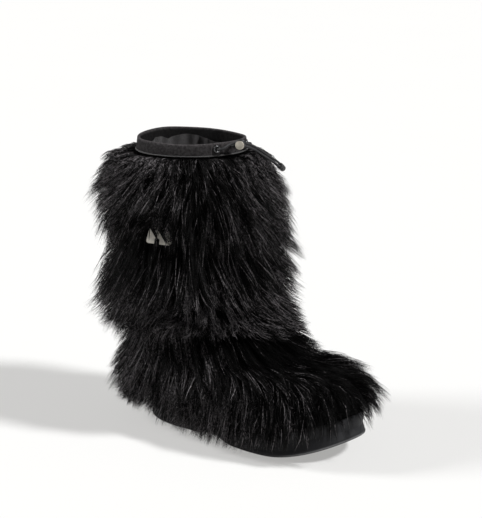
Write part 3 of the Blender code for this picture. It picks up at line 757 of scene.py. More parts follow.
def liningShape(turn, level):
    s = liningSet
    inside = level <= 0.5
    climb = np.where(inside, level * 2, 2 - level * 2)
    ring = s["lowRing"] + (s["highRing"] - s["lowRing"]) * climb
    folds = s["slackDepth"] * (0.5 + 0.5 * np.sin(3 * turn + 0.9 * ring) * np.sin(1.3 * ring + 2 * turn))
    lean, upright = s["foldLean"]
    below, above = s["foldEnds"]
    for where, width, depth, low, high in s["folds"]:
        tall = ease((ring - low) / below) * ease((high - ring) / above)
        folds += depth * bell(turn - lean * (ring - upright), where, width) * tall
    folds *= ease((s["highRing"] - ring) / s["rimFade"])
    top = easeFrom(climb, s["domeFrom"])
    rise = np.zeros_like(turn)
    for where, half, height in s["domes"]:
        rise = np.maximum(rise, height * np.cos(np.clip(turnApart(turn, where) / half, -1, 1) * np.pi / 2))
    dome = ease(rise / s["domeFull"]) * top
    ripple = s["domeFoldDepth"] * (1 + np.sin(s["domeFolds"] * turn + 1.5 * np.sin(5 * turn)))
    standOff = -s["wall"] - gap - np.where(inside, s["thickness"] + folds, 0.0)
    point = wallPoint(ring, turn, standOff - dome * (s["domeInset"] + ripple))
    point[:, 2] += rise * top
    return point


placeSheet("inner_lining", liningSet, liningShape, liningCloth)

# sole, rand and footbed
seamGap = 0.03  # bonded rubber against rubber
soleSet = {
    "backX": -40.0, "frontX": 230.0, "heelHalf": 38.0, "lateral": 55.0, "medial": 51.5,
    "heelRound": 0.24, "toeRound": 0.28,
    "arch": (42.0, 104.0, 5.0),  # from, to, rise
    "spring": (142.0, 24.0, 1.8),  # from, rise, power
    "side": [(2.6, 0.0), (0.7, 0.8), (0.0, 2.2), (0.0, 4.4), (0.5, 5.4)],  # inset and rise
    "grooves": [(-27.0, 18.0, 4), (112.0, 16.0, 6)],  # first, pitch, number
    "grooveWidth": 6.0, "grooveDepth": 3.5, "lugMargin": 9.0,
    "spineEnds": 26.0,  # the foot's middle line stops this far from either end
    "underRows": 6, "topRows": 6,  # with the side's rows and its top edge between them
    "columns": 180, "rows": 18, "uvSize": rubberSet["soleWrap"], "smooth": 35.0,
}
randSet = {
    "steps": [(0.0, 3.2), (0.5, 2.8), (1.0, 2.4), (1.25, 1.6)],  # ring and thickness
    "bumperFrom": 0.72, "bumperExtra": 0.75, "bumperTaper": 1.35,
    "topRound": (0.10, 0.8),  # rings that round off the top edge, and by which share
    "line": (0.93, 0.05, 0.12),  # moulded line under the top edge: ring, half width, depth
    "columns": 220, "rows": 36, "uvSize": (6.0, 0.4), "smooth": 50.0,
}
footbedSet = {
    "inset": 4.2, "thickness": 4.5, "cup": 2.0, "flatRows": 8, "edgeRows": 3,
    "columns": 120, "rows": 19, "uvSize": (2.6, 1.0), "smooth": 50.0,
}


def featherZ(x):
    first = sectionTable[0]
    return along(first, np.clip((x - first[0]) / (first[2] - first[0]), 0.0, 1.0))


def soleZ(x):
    start, stop, rise = soleSet["arch"]
    arch = rise * np.sin(np.pi * np.clip((x - start) / (stop - start), 0, 1)) ** 2
    start, rise, power = soleSet["spring"]
    return arch + rise * np.clip((x - start) / (soleSet["frontX"] - start), 0, 2) ** power


def outlinePoint(inset, turn):
    s = soleSet
    row = np.zeros(np.shape(inset) + (10,))
    row[..., 0], row[..., 2] = s["backX"] + inset, s["frontX"] - inset
    row[..., 5], row[..., 6], row[..., 7] = s["heelHalf"] - inset, s["lateral"] - inset, s["medial"] - inset
    row[..., 8], row[..., 9] = s["heelRound"], s["toeRound"]
    return ringPoint(row, turn)


def towardsSpine(point, share):
    # slides an outline's point towards the middle line of the foot
    reach = soleSet["spineEnds"]
    spineX = np.clip(point[:, 0], soleSet["backX"] + reach, soleSet["frontX"] - reach)
    moved = point.copy()
    moved[:, 0] += (spineX - point[:, 0]) * share
    moved[:, 1] *= 1 - share
    return moved


def randThickness(ring, turn):
    s = randSet
    steps = np.array(s["steps"])
    bumper = s["bumperExtra"] * ease((lengthShare(turn) - s["bumperFrom"]) / (1 - s["bumperFrom"]))
    thick = np.interp(ring, steps[:, 0], steps[:, 1])
    return thick * (1 + bumper * (1 - s["bumperTaper"] * ring / steps[-1, 0]))


def soleShape(turn, level):
    # rows: spine to edge under the sole, up its stepped side, and back over the top to the spine
    s = soleSet
    side, first = np.array(s["side"]), s["underRows"]
    row = np.rint(level * s["rows"]).astype(int)
    onTop = row >= first + len(side)
    inset, rise = side[np.clip(row - first, 0, len(side) - 1)].T
    edge = wallPoint(np.zeros_like(turn), turn, gap + randThickness(0.0, turn))
    point = np.where(onTop[:, None], edge, outlinePoint(inset, turn))
    under = np.clip(1 - row / first, 0, 1)
    over = np.clip((row - first - len(side)) / (s["topRows"] + 1), 0, 1)
    point = towardsSpine(point, np.maximum(under, over))
    point[:, 2] = np.where(onTop, featherZ(point[:, 0]) - seamGap, soleZ(point[:, 0]) + rise)
    return point


def randShape(turn, level):
    s = randSet
    top = s["steps"][-1][0]
    inside = level < 0.5
    climb = np.where(inside, level * 2, 2 - level * 2)
    ring = top * climb
    over, share = s["topRound"]
    thick = randThickness(ring, turn)
    thick *= np.sqrt(np.clip((top - ring) / over, 0.0, 1.0)) * share + (1 - share)
    lineRing, lineHalf, lineDepth = s["line"]
    thick -= lineDepth * peak(ring, lineRing, lineHalf)
    point = wallPoint(ring, turn, gap + np.where(inside, 0.0, thick))
    point[:, 2] = np.where(climb < 1e-6, featherZ(point[:, 0]) + seamGap, point[:, 2])
    return point


def footbedShape(turn, level):
    s = footbedSet
    flat, edge = s["flatRows"], s["edgeRows"]
    row = np.rint(level * s["rows"])
    under = np.clip(1 - row / flat, 0, 1)
    over = np.clip((row - flat - edge) / flat, 0, 1)
    climb = np.clip((row - flat) / edge, 0, 1)
    base = sectionTable[0].copy()
    base[0] += s["inset"]
    base[2] -= s["inset"]
    base[5:8] -= s["inset"]
    point = ringPoint(np.broadcast_to(base, turn.shape + (10,)), turn)
    point = towardsSpine(point, np.maximum(under, over))
    cup = s["cup"] * over * (2 - over)
    point[:, 2] = featherZ(point[:, 0]) + s["thickness"] * climb - cup
    return point


def lugGrooves():
    s = soleSet
    bm = bmesh.new()
    margin = np.array([s["lugMargin"]])
    for first, pitch, number in s["grooves"]:
        for k in range(number):
            x = first + pitch * k
            turn = 2 * math.atan2(math.sqrt(x - s["backX"]), math.sqrt(s["frontX"] - x))
            lateral, medial = (outlinePoint(margin, np.array([t]))[0, 1] for t in (turn, -turn))
            top = float(soleZ(np.array(x))) + s["grooveDepth"]
            middle = Matrix.Translation((x, (medial + lateral) / 2, (top - s["grooveDepth"]) / 2))
            addBlock(bm, middle, (s["grooveWidth"], medial - lateral, top + s["grooveDepth"]))
    return bm


sole = placeSheet("rubber_sole", soleSet, soleShape, soleRubber, ["outsole"])
cutAway(sole, lugGrooves(), "lug_groove_cutter")
placeSheet("rubber_rand", randSet, randShape, rubber, ["rand"])
placeSheet("felt_footbed", footbedSet, footbedShape, footbedFelt, ["insole"])
print("collar, lining and sole made")

# plain pale plate, half hidden under the top tier's locks
plateSet = {
    "size": (30.0, 17.0, 1.2), "corner": 3.0, "edge": 0.35,
    "ring": 9.95, "turn": 1.72, "standOff": 12.2, "lean": 26.0,
    # where the locks part in front of it, as seen by the camera: mm to the right of and above its middle
    "slivers": [
        [(-10.0, 9.0), (-8.5, 7.5), (-3.5, -3.5), (-4.5, -5.0), (-8.0, -7.5), (-12.5, -7.5), (-13.5, 5.5)],
        [(-0.5, 1.5), (0.5, 1.0), (6.5, -8.0), (6.0, -10.0), (0.0, -9.5), (-3.0, -5.5), (-2.0, -2.5)]],
    "clearBehind": -2.0,
    "clearSteps": 21, "clearShort": 0.04, "clearLeast": 0.3,  # of a strand: samples, margin, shortest kept
    # dark locks between and beside the slivers: root and tip, to the right of, above and ahead of its middle,
    # then spread and strands
    "locks": [
        ((-9.5, 13.0, 10.0), (-2.0, -4.5, 4.0), 1.0, 28), ((-2.5, -3.5, 5.0), (-5.0, -11.0, 4.0), 0.8, 16),
        ((-2.0, -4.0, 5.0), (-2.0, -11.5, 4.0), 0.7, 16), ((0.5, 9.0, 9.0), (8.5, -10.5, 5.0), 1.2, 44),
        ((-10.5, 12.0, 7.0), (-11.0, -5.0, 4.0), 0.5, 3)],
    "lockTone": 0.1,
}


def bevelEdges(bm, edges, offset, segments):
    bmesh.ops.bevel(bm, geom=edges, offset=offset, segments=segments, profile=0.5, affect="EDGES",
                    material=-1)


def edgeRise(edge):
    return abs(edge.verts[0].co.z - edge.verts[1].co.z)


def makePlate(s):
    middle = wallPoint(s["ring"], s["turn"], s["standOff"])
    away = middle - wallPoint(s["ring"], s["turn"], 0.0)
    heading = math.degrees(math.atan2(away[1], away[0]))
    bm = bmesh.new()
    bmesh.ops.create_cube(bm, size=1.0, matrix=Matrix.Diagonal((*s["size"], 1.0)))
    bevelEdges(bm, [e for e in bm.edges if edgeRise(e) > s["size"][2] / 2], s["corner"], 8)
    rims = [e for e in bm.edges if edgeRise(e) < 1e-4 and e.calc_face_angle(0.0) > 1.0]
    bevelEdges(bm, rims, s["edge"], 3)
    placed = Matrix.Scale(mm, 4) @ facing(Vector(middle), heading, -s["lean"])
    bmesh.ops.transform(bm, matrix=placed, verts=bm.verts[:])
    return middle, meshFrom("plain_plate", bm, 40.0)


plateMiddle, plateMesh = makePlate(plateSet)
place("plain_plate", plateMesh, plateMetal, ["side_plate"])

# long-pile fur in three tiers. Rows run from a tier's top root over its outside to the hem:
# ring, stand-off at the back and at the front, extra on a lock's ridge, rings that a lock hangs lower.
# hemTrim shortens the hem round a turn: turn, half width, share
# dim darkens locks with painted shade: turn, half width, share, to row. lit lights rows with painted light:
# row, half width, gain
# bandTone paints shade on the topmost rows, under the hem above, down to row bandTo. arch lifts them: rise at
# back and front, over rows
# bare thins out the lowest rows of locks: turn, half width, from row
# shades paint shade on patches of locks, or painted light where negative: turn, half width, row, half rows,
# share
# wisps are long single locks, listed one by one: root ring, turn, tip ring, tip stand-off
# sheen is a painted sheen: a lighter tone on a tier's topmost rows, over furSet's sheenRows
topTier = {
    "name": "top", "node": "fur_top", "seed": 11, "lockRows": 11, "mmPerRing": 30.0,
    "rootTo": 10.5, "tipFrom": 0.30, "tipGain": 0.82, "ringPower": (1.0, 1.3), "offPower": (1.05, 1.4),
    "recess": (1.0, 1.0, 1.0), "puff": (1.20, 1.13), "shoulderDrop": (0.8, 9.0), "sag": (0.0, 0.0),
    "bandTone": 1.0, "bandTo": 0.3, "sheen": 0.16, "lit": (0.05, 0.2, 0.2), "hemTrim": (1.55, 0.60, 0.15),
    "dim": (2.3, 0.5, 0.7, 1.2), "bare": (0.0, 0.1, 2.0), "arch": (0.5, 6.0, 0.12),
    "shades": [(1.45, 0.5, 0.2, 0.4, -0.3), (3.05, 0.4, 0.4, 0.35, 0.3), (1.5, 0.6, 0.9, 0.2, 0.7)],
    "outer": [
        (12.93, 0.6, 0.6, 0.0, 0.0), (12.84, 11.0, 10.0, 0.0, 0.0), (12.66, 24.0, 21.0, 1.0, 0.0),
        (12.25, 35.0, 29.0, 2.0, 0.0), (11.60, 41.0, 34.0, 4.0, 0.0), (11.05, 40.0, 37.0, 6.0, 0.15),
        (10.90, 36.0, 35.0, 3.0, 0.0), (10.20, 32.0, 40.0, 5.0, 0.1), (9.80, 30.0, 42.0, 5.0, 0.25),
        (9.48, 29.0, 42.0, 2.0, 0.45)],
    "wisps": [
        (11.7, 3.80, 10.25, 49.5), (10.9, 3.75, 9.55, 46.5), (12.9, 0.60, 12.10, 38.5),
        (12.8, 0.60, 11.60, 43.0), (12.3, 0.65, 10.95, 46.0), (11.8, 0.70, 10.60, 39.0),
        (11.2, 0.70, 9.75, 37.5), (11.3, 0.95, 9.70, 37.0), (11.2, 2.75, 9.25, 45.0),
        (11.0, 3.20, 9.30, 47.0), (11.2, 4.60, 9.40, 44.0), (11.2, 5.60, 9.50, 38.0)],
}
middleTier = {
    "name": "middle", "node": "fur_middle", "seed": 23, "lockRows": 10, "mmPerRing": 30.0,
    "rootTo": 7.3, "tipFrom": 0.42, "tipGain": 0.74, "ringPower": (1.0, 1.3), "offPower": (1.05, 1.4),
    "recess": (1.0, 0.55, 0.8), "puff": (1.66, 1.18), "shoulderDrop": (0.0, 0.0), "sag": (0.0, 6.0),
    "bandTone": 0.06, "bandTo": 0.24, "sheen": 0.0, "lit": (0.40, 0.16, 0.25), "hemTrim": (1.85, 0.75, 0.19),
    "dim": (1.75, 1.1, 1.0, 0.45), "bare": (0.0, 0.1, 2.0), "arch": (0.0, 0.0, 1.0),
    "shades": [(2.43, 0.22, 0.6, 0.4, -1.2), (2.95, 0.4, 0.6, 0.6, 0.6), (1.15, 0.4, 0.6, 0.3, 0.3)],
    "outer": [
        (10.36, 0.7, 0.7, 0.0, 0.0), (10.12, 7.0, 8.0, 0.0, 0.0), (9.70, 14.0, 18.0, 0.0, 0.0),
        (9.30, 20.0, 27.0, 0.0, 0.0), (9.00, 25.0, 35.0, 1.0, 0.0), (8.75, 33.0, 43.0, 3.0, 0.0),
        (8.45, 39.0, 46.0, 5.0, 0.15), (8.30, 36.0, 42.0, 3.0, 0.0), (7.70, 37.0, 34.0, 5.0, 0.1),
        (7.10, 35.0, 30.0, 5.0, 0.25), (6.45, 30.0, 27.0, 2.0, 0.6)],
    "wisps": [
        (10.1, 3.80, 9.00, 56.0), (9.9, 3.80, 8.70, 57.5), (9.6, 3.75, 8.45, 50.0), (9.4, 3.70, 8.15, 45.5),
        (8.2, 3.70, 6.70, 36.0), (7.6, 3.65, 6.10, 30.0), (10.1, 0.65, 8.85, 48.0), (9.7, 0.65, 8.50, 52.5),
        (8.2, 0.50, 6.70, 46.0), (8.0, 0.60, 6.40, 42.0), (8.2, 2.70, 6.40, 36.0), (8.2, 5.20, 6.40, 38.0)],
}
footTier = {
    "name": "foot", "node": "fur_foot", "seed": 37, "lockRows": 12, "mmPerRing": 20.0,
    "rootTo": 2.0, "tipFrom": 0.42, "tipGain": 0.86, "ringPower": (1.0, 1.2), "offPower": (1.1, 1.45),
    "recess": (1.0, 0.75, 1.45), "puff": (1.52, 1.04), "shoulderDrop": (8.0, 14.0), "sag": (8.0, 0.0),
    "bandTone": 0.6, "bandTo": 0.3, "sheen": 0.0, "lit": (0.5, 0.2, 0.2), "hemTrim": (3.14, 0.5, 0.02),
    "dim": (2.95, 0.95, 1.0, 1.2), "bare": (3.25, 0.6, 0.64), "arch": (5.0, 5.0, 0.15),
    "shades": [(1.9, 0.9, 0.35, 0.2, 0.3), (1.8, 0.6, 0.0, 0.2, -1.0), (2.7, 0.4, 0.2, 0.25, 0.6)],
    "outer": [
        (7.10, 0.8, 0.8, 0.0, 0.0), (6.90, 7.0, 7.0, 0.0, 0.0), (6.55, 14.0, 14.0, 0.0, 0.0),
        (6.10, 20.0, 19.0, 0.0, 0.0), (5.50, 25.0, 23.0, 2.0, 0.0), (4.70, 28.0, 26.0, 5.0, 0.15),
        (4.50, 25.0, 24.0, 2.0, 0.0), (3.80, 27.0, 27.0, 5.0, 0.1), (2.90, 30.0, 29.0, 6.0, 0.2),
        (2.60, 26.0, 27.0, 3.0, 0.0), (2.00, 24.0, 27.0, 5.0, 0.25), (1.65, 19.0, 24.0, 2.0, 0.5)],
    "wisps": [
        (7.0, 3.60, 5.40, 31.0), (6.6, 3.55, 4.95, 27.0), (7.0, 3.55, 5.70, 30.0), (6.9, 3.60, 5.20, 30.0),
        (6.4, 0.35, 4.15, 39.0), (4.6, 0.35, 2.25, 43.0), (4.0, 0.35, 1.70, 40.5), (3.4, 0.35, 1.05, 36.5),
        (2.6, 0.45, 0.15, 33.0), (5.2, 0.30, 2.90, 42.0), (2.9, 0.40, 0.60, 35.0), (3.6, 0.25, 0.80, 38.0),
        (3.2, 0.50, 0.30, 34.0), (3.0, 0.30, 0.50, 36.0), (3.8, 0.40, 1.20, 39.0), (2.8, 0.55, 0.20, 30.0),
        (2.6, 0.20, 0.30, 31.0), (4.2, 3.25, 1.70, 41.5), (3.4, 3.20, 1.35, 28.5), (3.0, 3.15, 1.05, 21.5),
        (4.1, 3.20, 1.75, 41.0), (3.3, 3.20, 1.30, 28.0), (3.8, 3.30, 1.50, 36.0), (4.8, 3.50, 2.50, 36.5),
        (4.5, 3.40, 2.15, 33.0), (5.2, 3.60, 3.35, 31.5), (4.0, 3.35, 1.60, 36.0), (3.6, 2.95, 1.35, 24.0)],
}
furSet = {
    "lockSpacing": 8.6, "lockJitter": 0.32,  # mm, and a share of it
    "strandsPerLock": 20,
    "width": 0.60, "widths": (0.7, 1.25),
    "streakWidth": 1.3, "streakFrom": 0.62,  # a strand with a painted glint is drawn wider, as a few hairs together
    "taper": (1.0, 0.95, 0.62),  # of the width, at the three rings of a strand
    "stations": (0.0, 0.36, 0.70, 1.0),  # shares of a strand's length, from its root to its tip
    "rootOff": 0.8, "rootBelow": 0.02,
    "rootSpread": (0.85, 0.75),  # of the spacing across and of a row's height
    "tipSpread": 1.4,
    "tipLength": (0.03, 0.035),  # scatter of the tips, and how much shorter they get
    "tipRange": (0.12, 1.08),
    "trimFrom": (0.5, 0.4),
    "puffFrom": (0.40, 0.22),
    "lockLength": 0.045,
    "reach": (0.2, 1.0),
    "bulk": (0.84, 1.08),  # how far a lock stands out, against the tier's outside
    "inner": 0.28, "innerDepth": (0.62, 0.88), "outerDepth": (0.92, 1.03),  # strands within a lock
    "flyaways": 0.14, "flySpread": 6.0, "flyLength": (-0.06, 0.05),
    "thin": 4,  # one lock in so many is left where a tier is bare
    "spikes": 0.20, "spikeFrom": 0.3,  # share of locks that end in a longer point, below this row
    "spikeBulk": (1.06, 1.22),
    "spikeLength": (0.02, 0.08),
    "pointed": 0.45,  # of the spread, at the tip of a spike or wisp
    "wispStray": 0.04, "wispBulk": (0.88, 1.02),
    "lean": 7.0,
    "wave": (0.2, 0.9), "waveTurn": 7.0,
    "lockTone": (0.40, 0.24), "lockToneMost": 0.9, "dimFade": 0.3,
    "strandTone": 0.13, "strandToneMost": 0.64, "sheenRows": 0.2,
    "glints": 0.27, "glintShares": (0.05, 2.5), "glintTone": (0.65, 1.0),  # painted glints: strands given a light tone in place of shine
    "tones": 64, "mapMargin": (0.05, 0.02),
    "lowestRing": 0.12, "ringRange": (0.05, 12.97),
    "lowestZ": 6.0,
    "sideDrop": (1.45, 1.2, 2.3, 0.7),  # rings, power, from ring, over rings
    "sideDropFrom": (0.15, 0.20),  # starts this far along the foot, over this share
    "sideHang": 5.0, "sideHangFrom": 1.5,
    "backFrom": -102.0, "backOver": 11.0,  # strands behind this x are drawn in, over this much
}
underfurSet = {
    "share": 0.60, "lumps": 0.10, "least": 0.8, "outsideTo": 0.7, "hang": 0.7, "dropGain": 1.2,
    "parting": (1.68, 0.34, 0.24),
    "columns": 150, "rows": 40, "uvSize": (1.0, 1.0), "smooth": 180.0,
}


def tierRows(tier, v):
    rows = np.array(tier["outer"])
    hops = np.hypot(np.diff(rows[:, 0]) * tier["mmPerRing"], np.diff(rows[:, 1:3].mean(1)))
    lengths = np.concatenate([[0.0], np.cumsum(hops)])
    knots = lengths / lengths[-1]
    found = np.stack([np.interp(v, knots, rows[:, k]) for k in range(5)], -1)
    found[..., 0] -= np.maximum(v - 1.0, 0.0) * lengths[-1] / tier["mmPerRing"]
    return found


def tierEnvelope(tier, v, turn, ridge, reach):
    # ring and stand-off of the pile's outside at a share of the way from root to hem
    row = tierRows(tier, v)
    share = lengthShare(turn)
    standOff = row[..., 1] + (row[..., 2] - row[..., 1]) * share + row[..., 3] * ridge
    ring = row[..., 0] - row[..., 4] * reach
    if tier is footTier:
        drop, power, fromRing, over = furSet["sideDrop"]
        drop = drop * easeFrom(share, furSet["sideDropFrom"])
        ring = ring - drop * np.abs(np.sin(turn)) ** power * ease((fromRing - row[..., 0]) / over)
    return np.maximum(ring, furSet["lowestRing"]), standOff


def lockPlaces(tier, rng):
    # staggered rows of locks, evenly spaced along the pile's outside, then the wisps
    s = furSet
    fine = np.linspace(0, 2 * np.pi, 721)
    bareTurn, bareHalf, bareFrom = tier["bare"]
    found = []
    for row in range(tier["lockRows"]):
        u = row / (tier["lockRows"] - 1)
        tip = min(tier["tipFrom"] + tier["tipGain"] * u, 1.0)
        ring, standOff = tierEnvelope(tier, np.full_like(fine, tip * 0.9), fine, 0.5, 0.5)
        points = wallPoint(ring, fine, standOff)
        arc = np.concatenate([[0.0], np.cumsum(np.linalg.norm(np.diff(points, axis=0), axis=1))])
        count = round(arc[-1] / s["lockSpacing"])
        jitter = rng.uniform(-s["lockJitter"], s["lockJitter"], count)
        spots = (np.arange(count) + 0.5 * (row % 2) + jitter) / count * arc[-1]
        turn = np.interp(spots % arc[-1], arc, fine)
        pace = np.interp(turn, fine, np.gradient(arc, fine))
        grown = (bell(turn, bareTurn, bareHalf) < 0.5) | (u < bareFrom) | (np.arange(count) % s["thin"] == 0)
        found.append(np.stack([turn, np.full(count, u), np.full(count, tip), pace], -1)[grown])
    rootRing, turn, tipRing, standOff = np.array(tier["wisps"]).T
    aside = wallPoint(tipRing, turn + 0.01, standOff) - wallPoint(tipRing, turn - 0.01, standOff)
    pace = np.linalg.norm(aside, axis=1) / 0.02
    rootFrom = tier["outer"][0][0]
    u = (rootFrom - rootRing) / (rootFrom - tier["rootTo"])
    found.append(np.stack([turn, u, np.full(len(turn), 0.9), pace], -1))
    return np.concatenate(found)


# tone of each lock, with the painted shade and painted light that the tier sets
def lockTones(tier, rng, turn, u):
    s = furSet
    tone = np.clip(rng.normal(*s["lockTone"], u.shape), 0, s["lockToneMost"])
    tone = tone * between((tier["bandTone"], 1.0), ease(u / tier["bandTo"]))
    row, half, gain = tier["lit"]
    tone = tone * (1 + gain * peak(u, row, half))
    middle, half, share, toRow = tier["dim"]
    tone = tone * (1 - share * bell(turn, middle, half) * ease((toRow - u) / s["dimFade"]))
    for middle, half, row, rows, share in tier["shades"]:
        tone = tone * (1 - share * bell(turn, middle, half) * peak(u, row, rows))
    return tone


def strandPaths(tier, rng):
    # points of every strand, a tone for each, and whether it is on the outer side
    s = furSet
    locks = lockPlaces(tier, rng)
    wisps = np.array(tier["wisps"])
    turn, u, tip, pace = (column[:, None] for column in locks.T)
    each = turn.shape  # one draw for a lock
    shape = (len(locks), s["strandsPerLock"])  # one draw for a strand
    onWisp = np.arange(len(locks)) >= len(locks) - len(wisps)
    isWisp = onWisp[:, None]
    rootFrom, rootTo = tier["outer"][0][0] - s["rootBelow"], tier["rootTo"]
    rowGap = (rootFrom - rootTo) / (tier["lockRows"] - 1)
    lockRing = rootFrom + (rootTo - rootFrom) * u
    ridge = rng.uniform(0.0, 1.0, each)
    reach = rng.uniform(*s["reach"], each)
    phases = rng.uniform(0, 2 * np.pi, 6)
    sway = np.sin(3 * turn + 1.7 * lockRing + phases[0]) + 0.7 * np.sin(7 * turn - 2.3 * lockRing + phases[1])
    lean = s["lean"] * (0.6 * sway + rng.normal(0, 0.5, each)) * ~isWisp
    spike = (rng.random(each) < s["spikes"]) & (u > s["spikeFrom"])
    length = np.where(spike, rng.uniform(*s["spikeLength"], each), rng.normal(0.0, s["lockLength"], each))
    bulk = np.where(spike, rng.uniform(*s["spikeBulk"], each), rng.uniform(*s["bulk"], each))
    pointed = np.where(spike | isWisp, s["pointed"], 1.0)
    tone = lockTones(tier, rng, turn, u)

    fly = (rng.random(shape) < s["flyaways"]) & ~isWisp
    inner = (rng.random(shape) < s["inner"]) & ~isWisp
    rootAside = rng.uniform(-1, 1, shape) * s["lockSpacing"] * s["rootSpread"][0]
    rootUp = rng.uniform(-1, 1, shape) * rowGap * s["rootSpread"][1]
    tipAside = rng.normal(0, s["tipSpread"], shape) * pointed
    tipAside = tipAside + np.where(fly, rng.normal(0, s["flySpread"], shape), 0.0)
    scatter, shorter = s["tipLength"]
    tipV = tip + length + (rng.normal(0, scatter, shape) - np.abs(rng.normal(0, shorter, shape))) * pointed
    tipV = np.where(fly, tipV + rng.uniform(*s["flyLength"], shape), tipV)
    trimTurn, trimHalf, trimShare = tier["hemTrim"]
    tipV = tipV - trimShare * bell(turn, trimTurn, trimHalf) * easeFrom(tipV, s["trimFrom"])
    tipV = np.clip(tipV, *s["tipRange"])
    depth = np.where(inner, rng.uniform(*s["innerDepth"], shape), rng.uniform(*s["outerDepth"], shape)) * bulk
    lockTurn = turn + lean / pace
    tipTurn = lockTurn + tipAside / pace
    tipRing, tipOff = tierEnvelope(tier, tipV, tipTurn, ridge, reach)
    share = lengthShare(tipTurn)
    recessBack, recessSide, recessFront = tier["recess"]
    recess = between((recessBack, recessFront), share)
    recess = between((recess, recessSide), np.clip(np.sin(tipTurn), 0, 1) ** 2)
    tipOff = tipOff * depth * between((recess, between(tier["puff"], share)), easeFrom(tipV, s["puffFrom"]))
    drop = between(tier["shoulderDrop"], share) * ease(1.15 - 1.9 * u)
    drop = drop + between(tier["sag"], share) * ease(1.6 * u)
    strays = (len(wisps), s["strandsPerLock"])
    tipRing[onWisp] = np.maximum(wisps[:, 2:3] + rng.normal(0, s["wispStray"], strays), s["lowestRing"])
    tipOff[onWisp] = wisps[:, 3:4] * rng.uniform(*s["wispBulk"], strays)
    drop[onWisp] = 0.0
    rootRing = np.minimum(lockRing + rootUp, rootFrom)
    ringPower = rng.uniform(*tier["ringPower"], shape)
    offPower = rng.uniform(*tier["offPower"], shape)
    wave = rng.uniform(*s["wave"], shape)
    wavePhase = rng.uniform(0, 2 * np.pi, shape)
    stations = np.array(s["stations"])
    points = []
    for t in stations:
        ring = rootRing + (tipRing - rootRing) * t**ringPower
        standOff = s["rootOff"] + (tipOff - s["rootOff"]) * (1 - (1 - t) ** offPower)
        aside = rootAside * (1 - t) ** 0.9 + wave * t * np.sin(s["waveTurn"] * t + wavePhase)
        where = turn + lean / pace * t**1.5 + (tipTurn - lockTurn) * t**1.3
        points.append(wallPoint(np.clip(ring, *s["ringRange"]), where + aside / pace, standOff))
    points = np.stack(points, 2)
    points[..., 2] -= drop[..., None] * ease(stations * 1.3)
    arch = between(tier["arch"], share) * peak(u, 0.0, tier["arch"][2])
    points[..., 2] += arch[..., None] * np.sin(np.pi * stations)
    if tier is footTier:
        hang = rng.uniform(0.0, s["sideHang"], shape) * np.abs(np.sin(tipTurn))
        hang = hang * ease(s["sideHangFrom"] - tipRing)
        points[..., 2] -= hang[..., None] * stations**2
        points[..., 2] = np.maximum(points[..., 2], s["lowestZ"])
    behind = np.maximum(s["backFrom"] - points[..., 0], 0.0)
    points[..., 0] += behind - s["backOver"] * np.tanh(behind / s["backOver"])
    # painted sheen: the topmost rows of a tier with sheen get a lighter tone and fewer painted glints
    sheen = peak(u, 0.0, s["sheenRows"])
    strandTone = tone + rng.normal(0, s["strandTone"], shape) + tier["sheen"] * sheen
    strandTone = np.clip(strandTone, 0, s["strandToneMost"])
    # painted glints: some strands get a light tone that stands in for shine
    least, gain = s["glintShares"]
    shining = s["glints"] * (least + gain * tone) * (1 - 0.5 * sheen * (tier["sheen"] > 0))
    strandTone = np.where(rng.random(shape) < shining, rng.uniform(*s["glintTone"], shape), strandTone)
    side = np.sin(np.broadcast_to(turn, shape)) >= 0
    return points.reshape(-1, len(stations), 3), strandTone.reshape(-1), side.reshape(-1)


def strandAt(points, shares):
    knots = np.array(furSet["stations"])
    low = np.clip(np.searchsorted(knots, shares, side="right") - 1, 0, len(knots) - 2)
    f = ((shares - knots[low]) / (knots[low + 1] - knots[low]))[..., None]
    rows = np.arange(len(points))[:, None]
    return points[rows, low] * (1 - f) + points[rows, low + 1] * f


def clearPlate(points):
    # strands stop where they would hang across the parted slivers in front of the plate
    s = plateSet
    back, right, up = (np.array(axis) for axis in cameraAxes(cameraSet))
    shares = np.linspace(0, 1, s["clearSteps"])
    apart = strandAt(points, np.broadcast_to(shares, (len(points), len(shares)))) - plateMiddle
    flatX, flatY = apart @ right, apart @ up
    covers = np.zeros(flatX.shape, bool)
    for sliver in s["slivers"]:
        inside = apart @ back > s["clearBehind"]
        for (ax, ay), (bx, by) in zip(sliver, sliver[1:] + sliver[:1]):
            inside &= (bx - ax) * (flatY - ay) - (by - ay) * (flatX - ax) <= 0
        covers |= inside
    reach = np.where(covers.any(1), shares[covers.argmax(1)] - s["clearShort"], 1.0)
    return strandAt(points, reach[:, None] * np.array(furSet["stations"])), reach > s["clearLeast"]


def plateLocks(rng):
    s = plateSet
    back, right, up = cameraAxes(cameraSet)
    axes = np.array([right, up, back])
    shares = np.array(furSet["stations"])[None, :, None]
    found = []
    for root, tip, spread, count in s["locks"]:
        first, last = (plateMiddle + np.array(end) @ axes for end in (root, tip))
        aside = rng.normal(0, spread, (count, 1, 3)) * (1.5 - shares)
        found.append(first + (last - first) * shares + aside)
    points = np.concatenate(found)
    return points, np.full(len(points), s["lockTone"])


